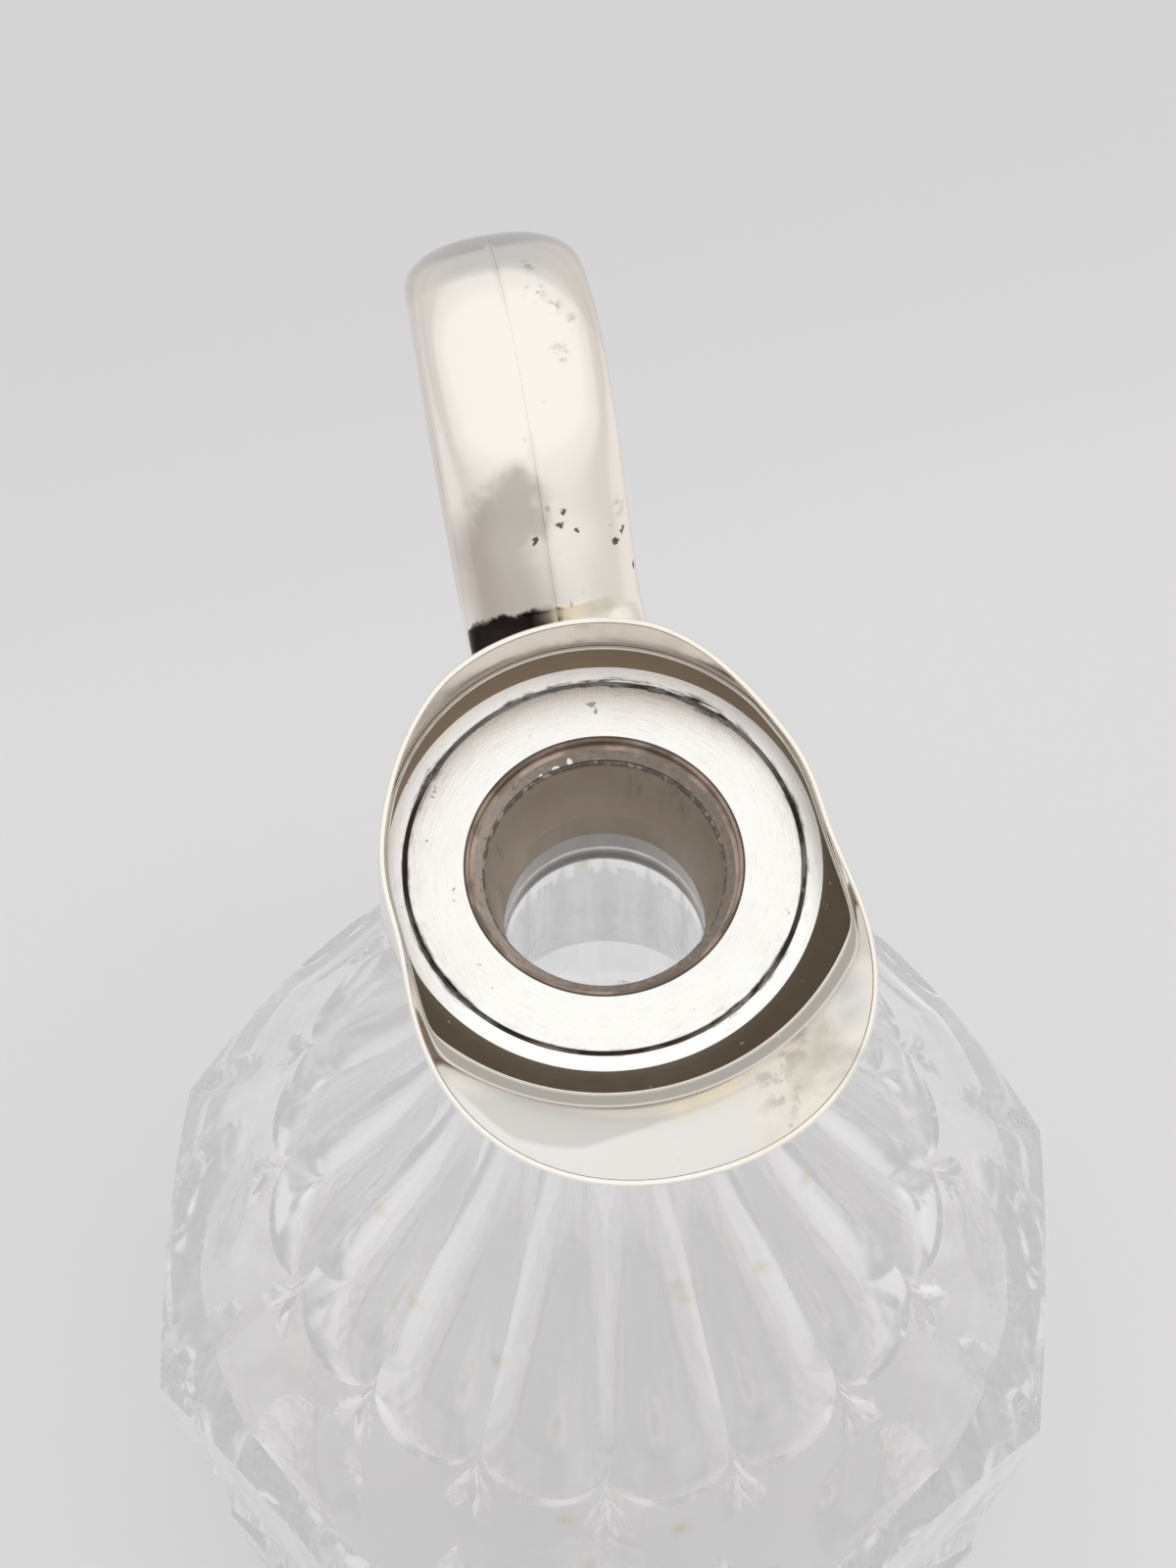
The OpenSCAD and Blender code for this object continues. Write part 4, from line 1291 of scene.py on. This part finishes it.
class JUG_OT_stage(Operator):
    """Adds the floor, the soft light, the room and the camera"""
    bl_idname = "jug.stage"
    bl_label = "Stage"

    def execute(self, context):
        stage = context.scene.jug_stage
        self.floor(context.scene, tuple(stage.backdrop))
        self.room(context.scene, tuple(stage.backdrop))
        self.lamp(context.scene)
        self.camera(context.scene, stage)
        return {"FINISHED"}

    def floor(self, scene, colour):
        """A pale disc that glows at its own colour where it is seen, with a faint shadow.

        In gloss it is brighter to the sides and darker far behind, and through
        glass it is a little brighter, but never above white.
        """
        mesh = bpy.data.meshes.new("floor")
        points = around(FLOOR_R, circle(FLOOR_SIDES), -FLOOR_DROP)
        mesh.from_pydata(points.tolist(), [], [tuple(range(FLOOR_SIDES))])
        disc = bpy.data.objects.new("floor", mesh)
        scene.collection.objects.link(disc)
        f = Finish("floor")
        x, y, _ = f.axes()
        shade = f.most(f.span(x, 0.12, 0.26), f.span(f.from_axis(x, y), 0.1, 0.3, 0.0, 0.4))
        shade = shade * 0.9 + f.noise(3.0) * 0.1
        paint = f.blend(shade, colour, tuple(c * 0.9 for c in colour))
        f.finish(Base_Color=paint, Roughness=0.9, Specular_IOR_Level=0.0)
        camera, glossy, through = f.rays()
        seen = f.most(f.most(camera, glossy), through)
        lift = f.span(abs(y), 0.15, 0.45, 0.0, 0.4) - f.span(x, 0.15, 0.5, 0.0, 0.25)
        glow = f.node("Emission", {
            "Color": paint, "Strength": lift * glossy + (through * 0.08 + 1.0)})
        plain = Value(f, f.shader.outputs[0])
        mixed = f.node("MixShader", {0: seen * FLOOR_GLOW, 1: plain, 2: glow})
        f.join(mixed, f.nodes["Material Output"].inputs["Surface"])
        disc.data.materials.append(f.material)

    def room(self, scene, colour):
        """White overhead and greyer at the horizon; the camera sees the backdrop's colour."""
        scene.world = bpy.data.worlds.new("room")
        tree = Tree(scene.world)
        way = tree.node("TexCoord", {}, "Generated")
        height = tree.node("SeparateXYZ", {0: way}, "Z")
        node = tree.add("ValToRGB", {0: height})
        ramp = node.color_ramp
        ramp.interpolation = "EASE"
        ramp.elements[0].position = ROOM_LEVELS[0][0]
        ramp.elements[1].position = ROOM_LEVELS[-1][0]
        for position, _ in ROOM_LEVELS[1:-1]:
            ramp.elements.new(position)
        for element, (_, level) in zip(ramp.elements, ROOM_LEVELS):
            element.color = (level, level * 0.993, level * 0.985, 1)
        light = tree.blend(tree.rays()[0], Value(tree, node.outputs[0]), colour)
        background = tree.nodes["Background"]
        background.inputs["Strength"].default_value = 1.0
        tree.join(light, background.inputs["Color"])

    def lamp(self, scene):
        """One wide soft lamp overhead, a little towards the spout."""
        light = bpy.data.lights.new("soft_lamp", "AREA")
        light.shape = "DISK"
        light.size = LAMP_SIZE
        light.energy = LAMP_POWER
        lamp = bpy.data.objects.new("soft_lamp", light)
        lamp.location = LAMP_PLACE
        way = Vector(LAMP_AIM) - lamp.location
        lamp.rotation_euler = way.to_track_quat("-Z", "Y").to_euler()
        lamp.visible_glossy = False
        scene.collection.objects.link(lamp)

    def camera(self, scene, stage):
        """The photograph's viewpoint, from the solved angles, distance and focal length.

        The light bounces are raised as well, for the many walls of the cut glass.
        """
        azimuth, elevation, roll = stage.azimuth, stage.elevation, stage.roll
        back = Vector((np.sin(azimuth) * np.cos(elevation),
                       -np.cos(azimuth) * np.cos(elevation), np.sin(elevation)))
        right = Vector((np.cos(azimuth), np.sin(azimuth), 0))
        up = back.cross(right)
        aim = Vector((0, 0, PLATE_H * MM)) + right * stage.aim[0] + up * stage.aim[1]
        across = right * np.cos(roll) + up * np.sin(roll)
        above = up * np.cos(roll) - right * np.sin(roll)
        place = Matrix((across, above, back)).transposed().to_4x4()
        place.translation = aim + back * stage.distance
        lens = bpy.data.cameras.new("camera")
        lens.sensor_fit = "AUTO"
        lens.sensor_width = SENSOR_W
        lens.lens = stage.focal_px / FRAME_PX * SENSOR_W
        lens.clip_start = 0.01
        camera = bpy.data.objects.new("camera", lens)
        camera.matrix_world = place
        scene.collection.objects.link(camera)
        scene.camera = camera
        scene.view_settings.view_transform = "Standard"
        scene.cycles.max_bounces = 32
        scene.cycles.glossy_bounces = 24
        scene.cycles.transmission_bounces = 32


class JUG_PT_panel(Panel):
    """Sidebar panel with the sizes and the operators"""
    bl_idname = "JUG_PT_panel"
    bl_label = "Claret Jug"
    bl_space_type = "VIEW_3D"
    bl_region_type = "UI"
    bl_category = "Claret Jug"

    def draw(self, context):
        layout = self.layout
        scene = context.scene
        for group in (scene.jug_crystal, scene.jug_mount, scene.jug_handle, scene.jug_stage):
            box = layout.box()
            for word in group.bl_rna.properties.keys():
                if word not in ("rna_type", "name"):
                    box.prop(group, word)
        for operator in OPERATORS:
            layout.operator(operator.bl_idname)


OPERATORS = (JUG_OT_crystal, JUG_OT_mouth, JUG_OT_collar, JUG_OT_spout, JUG_OT_handle,
             JUG_OT_stage)
GROUPS = {"jug_crystal": CrystalSizes, "jug_mount": MountSizes, "jug_handle": HandleSizes,
          "jug_stage": StageSizes}


def register():
    for word, group in GROUPS.items():
        bpy.utils.register_class(group)
        setattr(bpy.types.Scene, word, PointerProperty(type=group))
    for operator in OPERATORS:
        bpy.utils.register_class(operator)
    bpy.utils.register_class(JUG_PT_panel)


def unregister():
    bpy.utils.unregister_class(JUG_PT_panel)
    for operator in reversed(OPERATORS):
        bpy.utils.unregister_class(operator)
    for word, group in reversed(list(GROUPS.items())):
        delattr(bpy.types.Scene, word)
        bpy.utils.unregister_class(group)


def main():
    """Registers the add-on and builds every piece."""
    register()
    bpy.ops.jug.stage()
    bpy.ops.jug.crystal()
    bpy.ops.jug.mouth()
    bpy.ops.jug.collar()
    bpy.ops.jug.spout()
    bpy.ops.jug.handle()


if __name__ == "__main__":
    main()
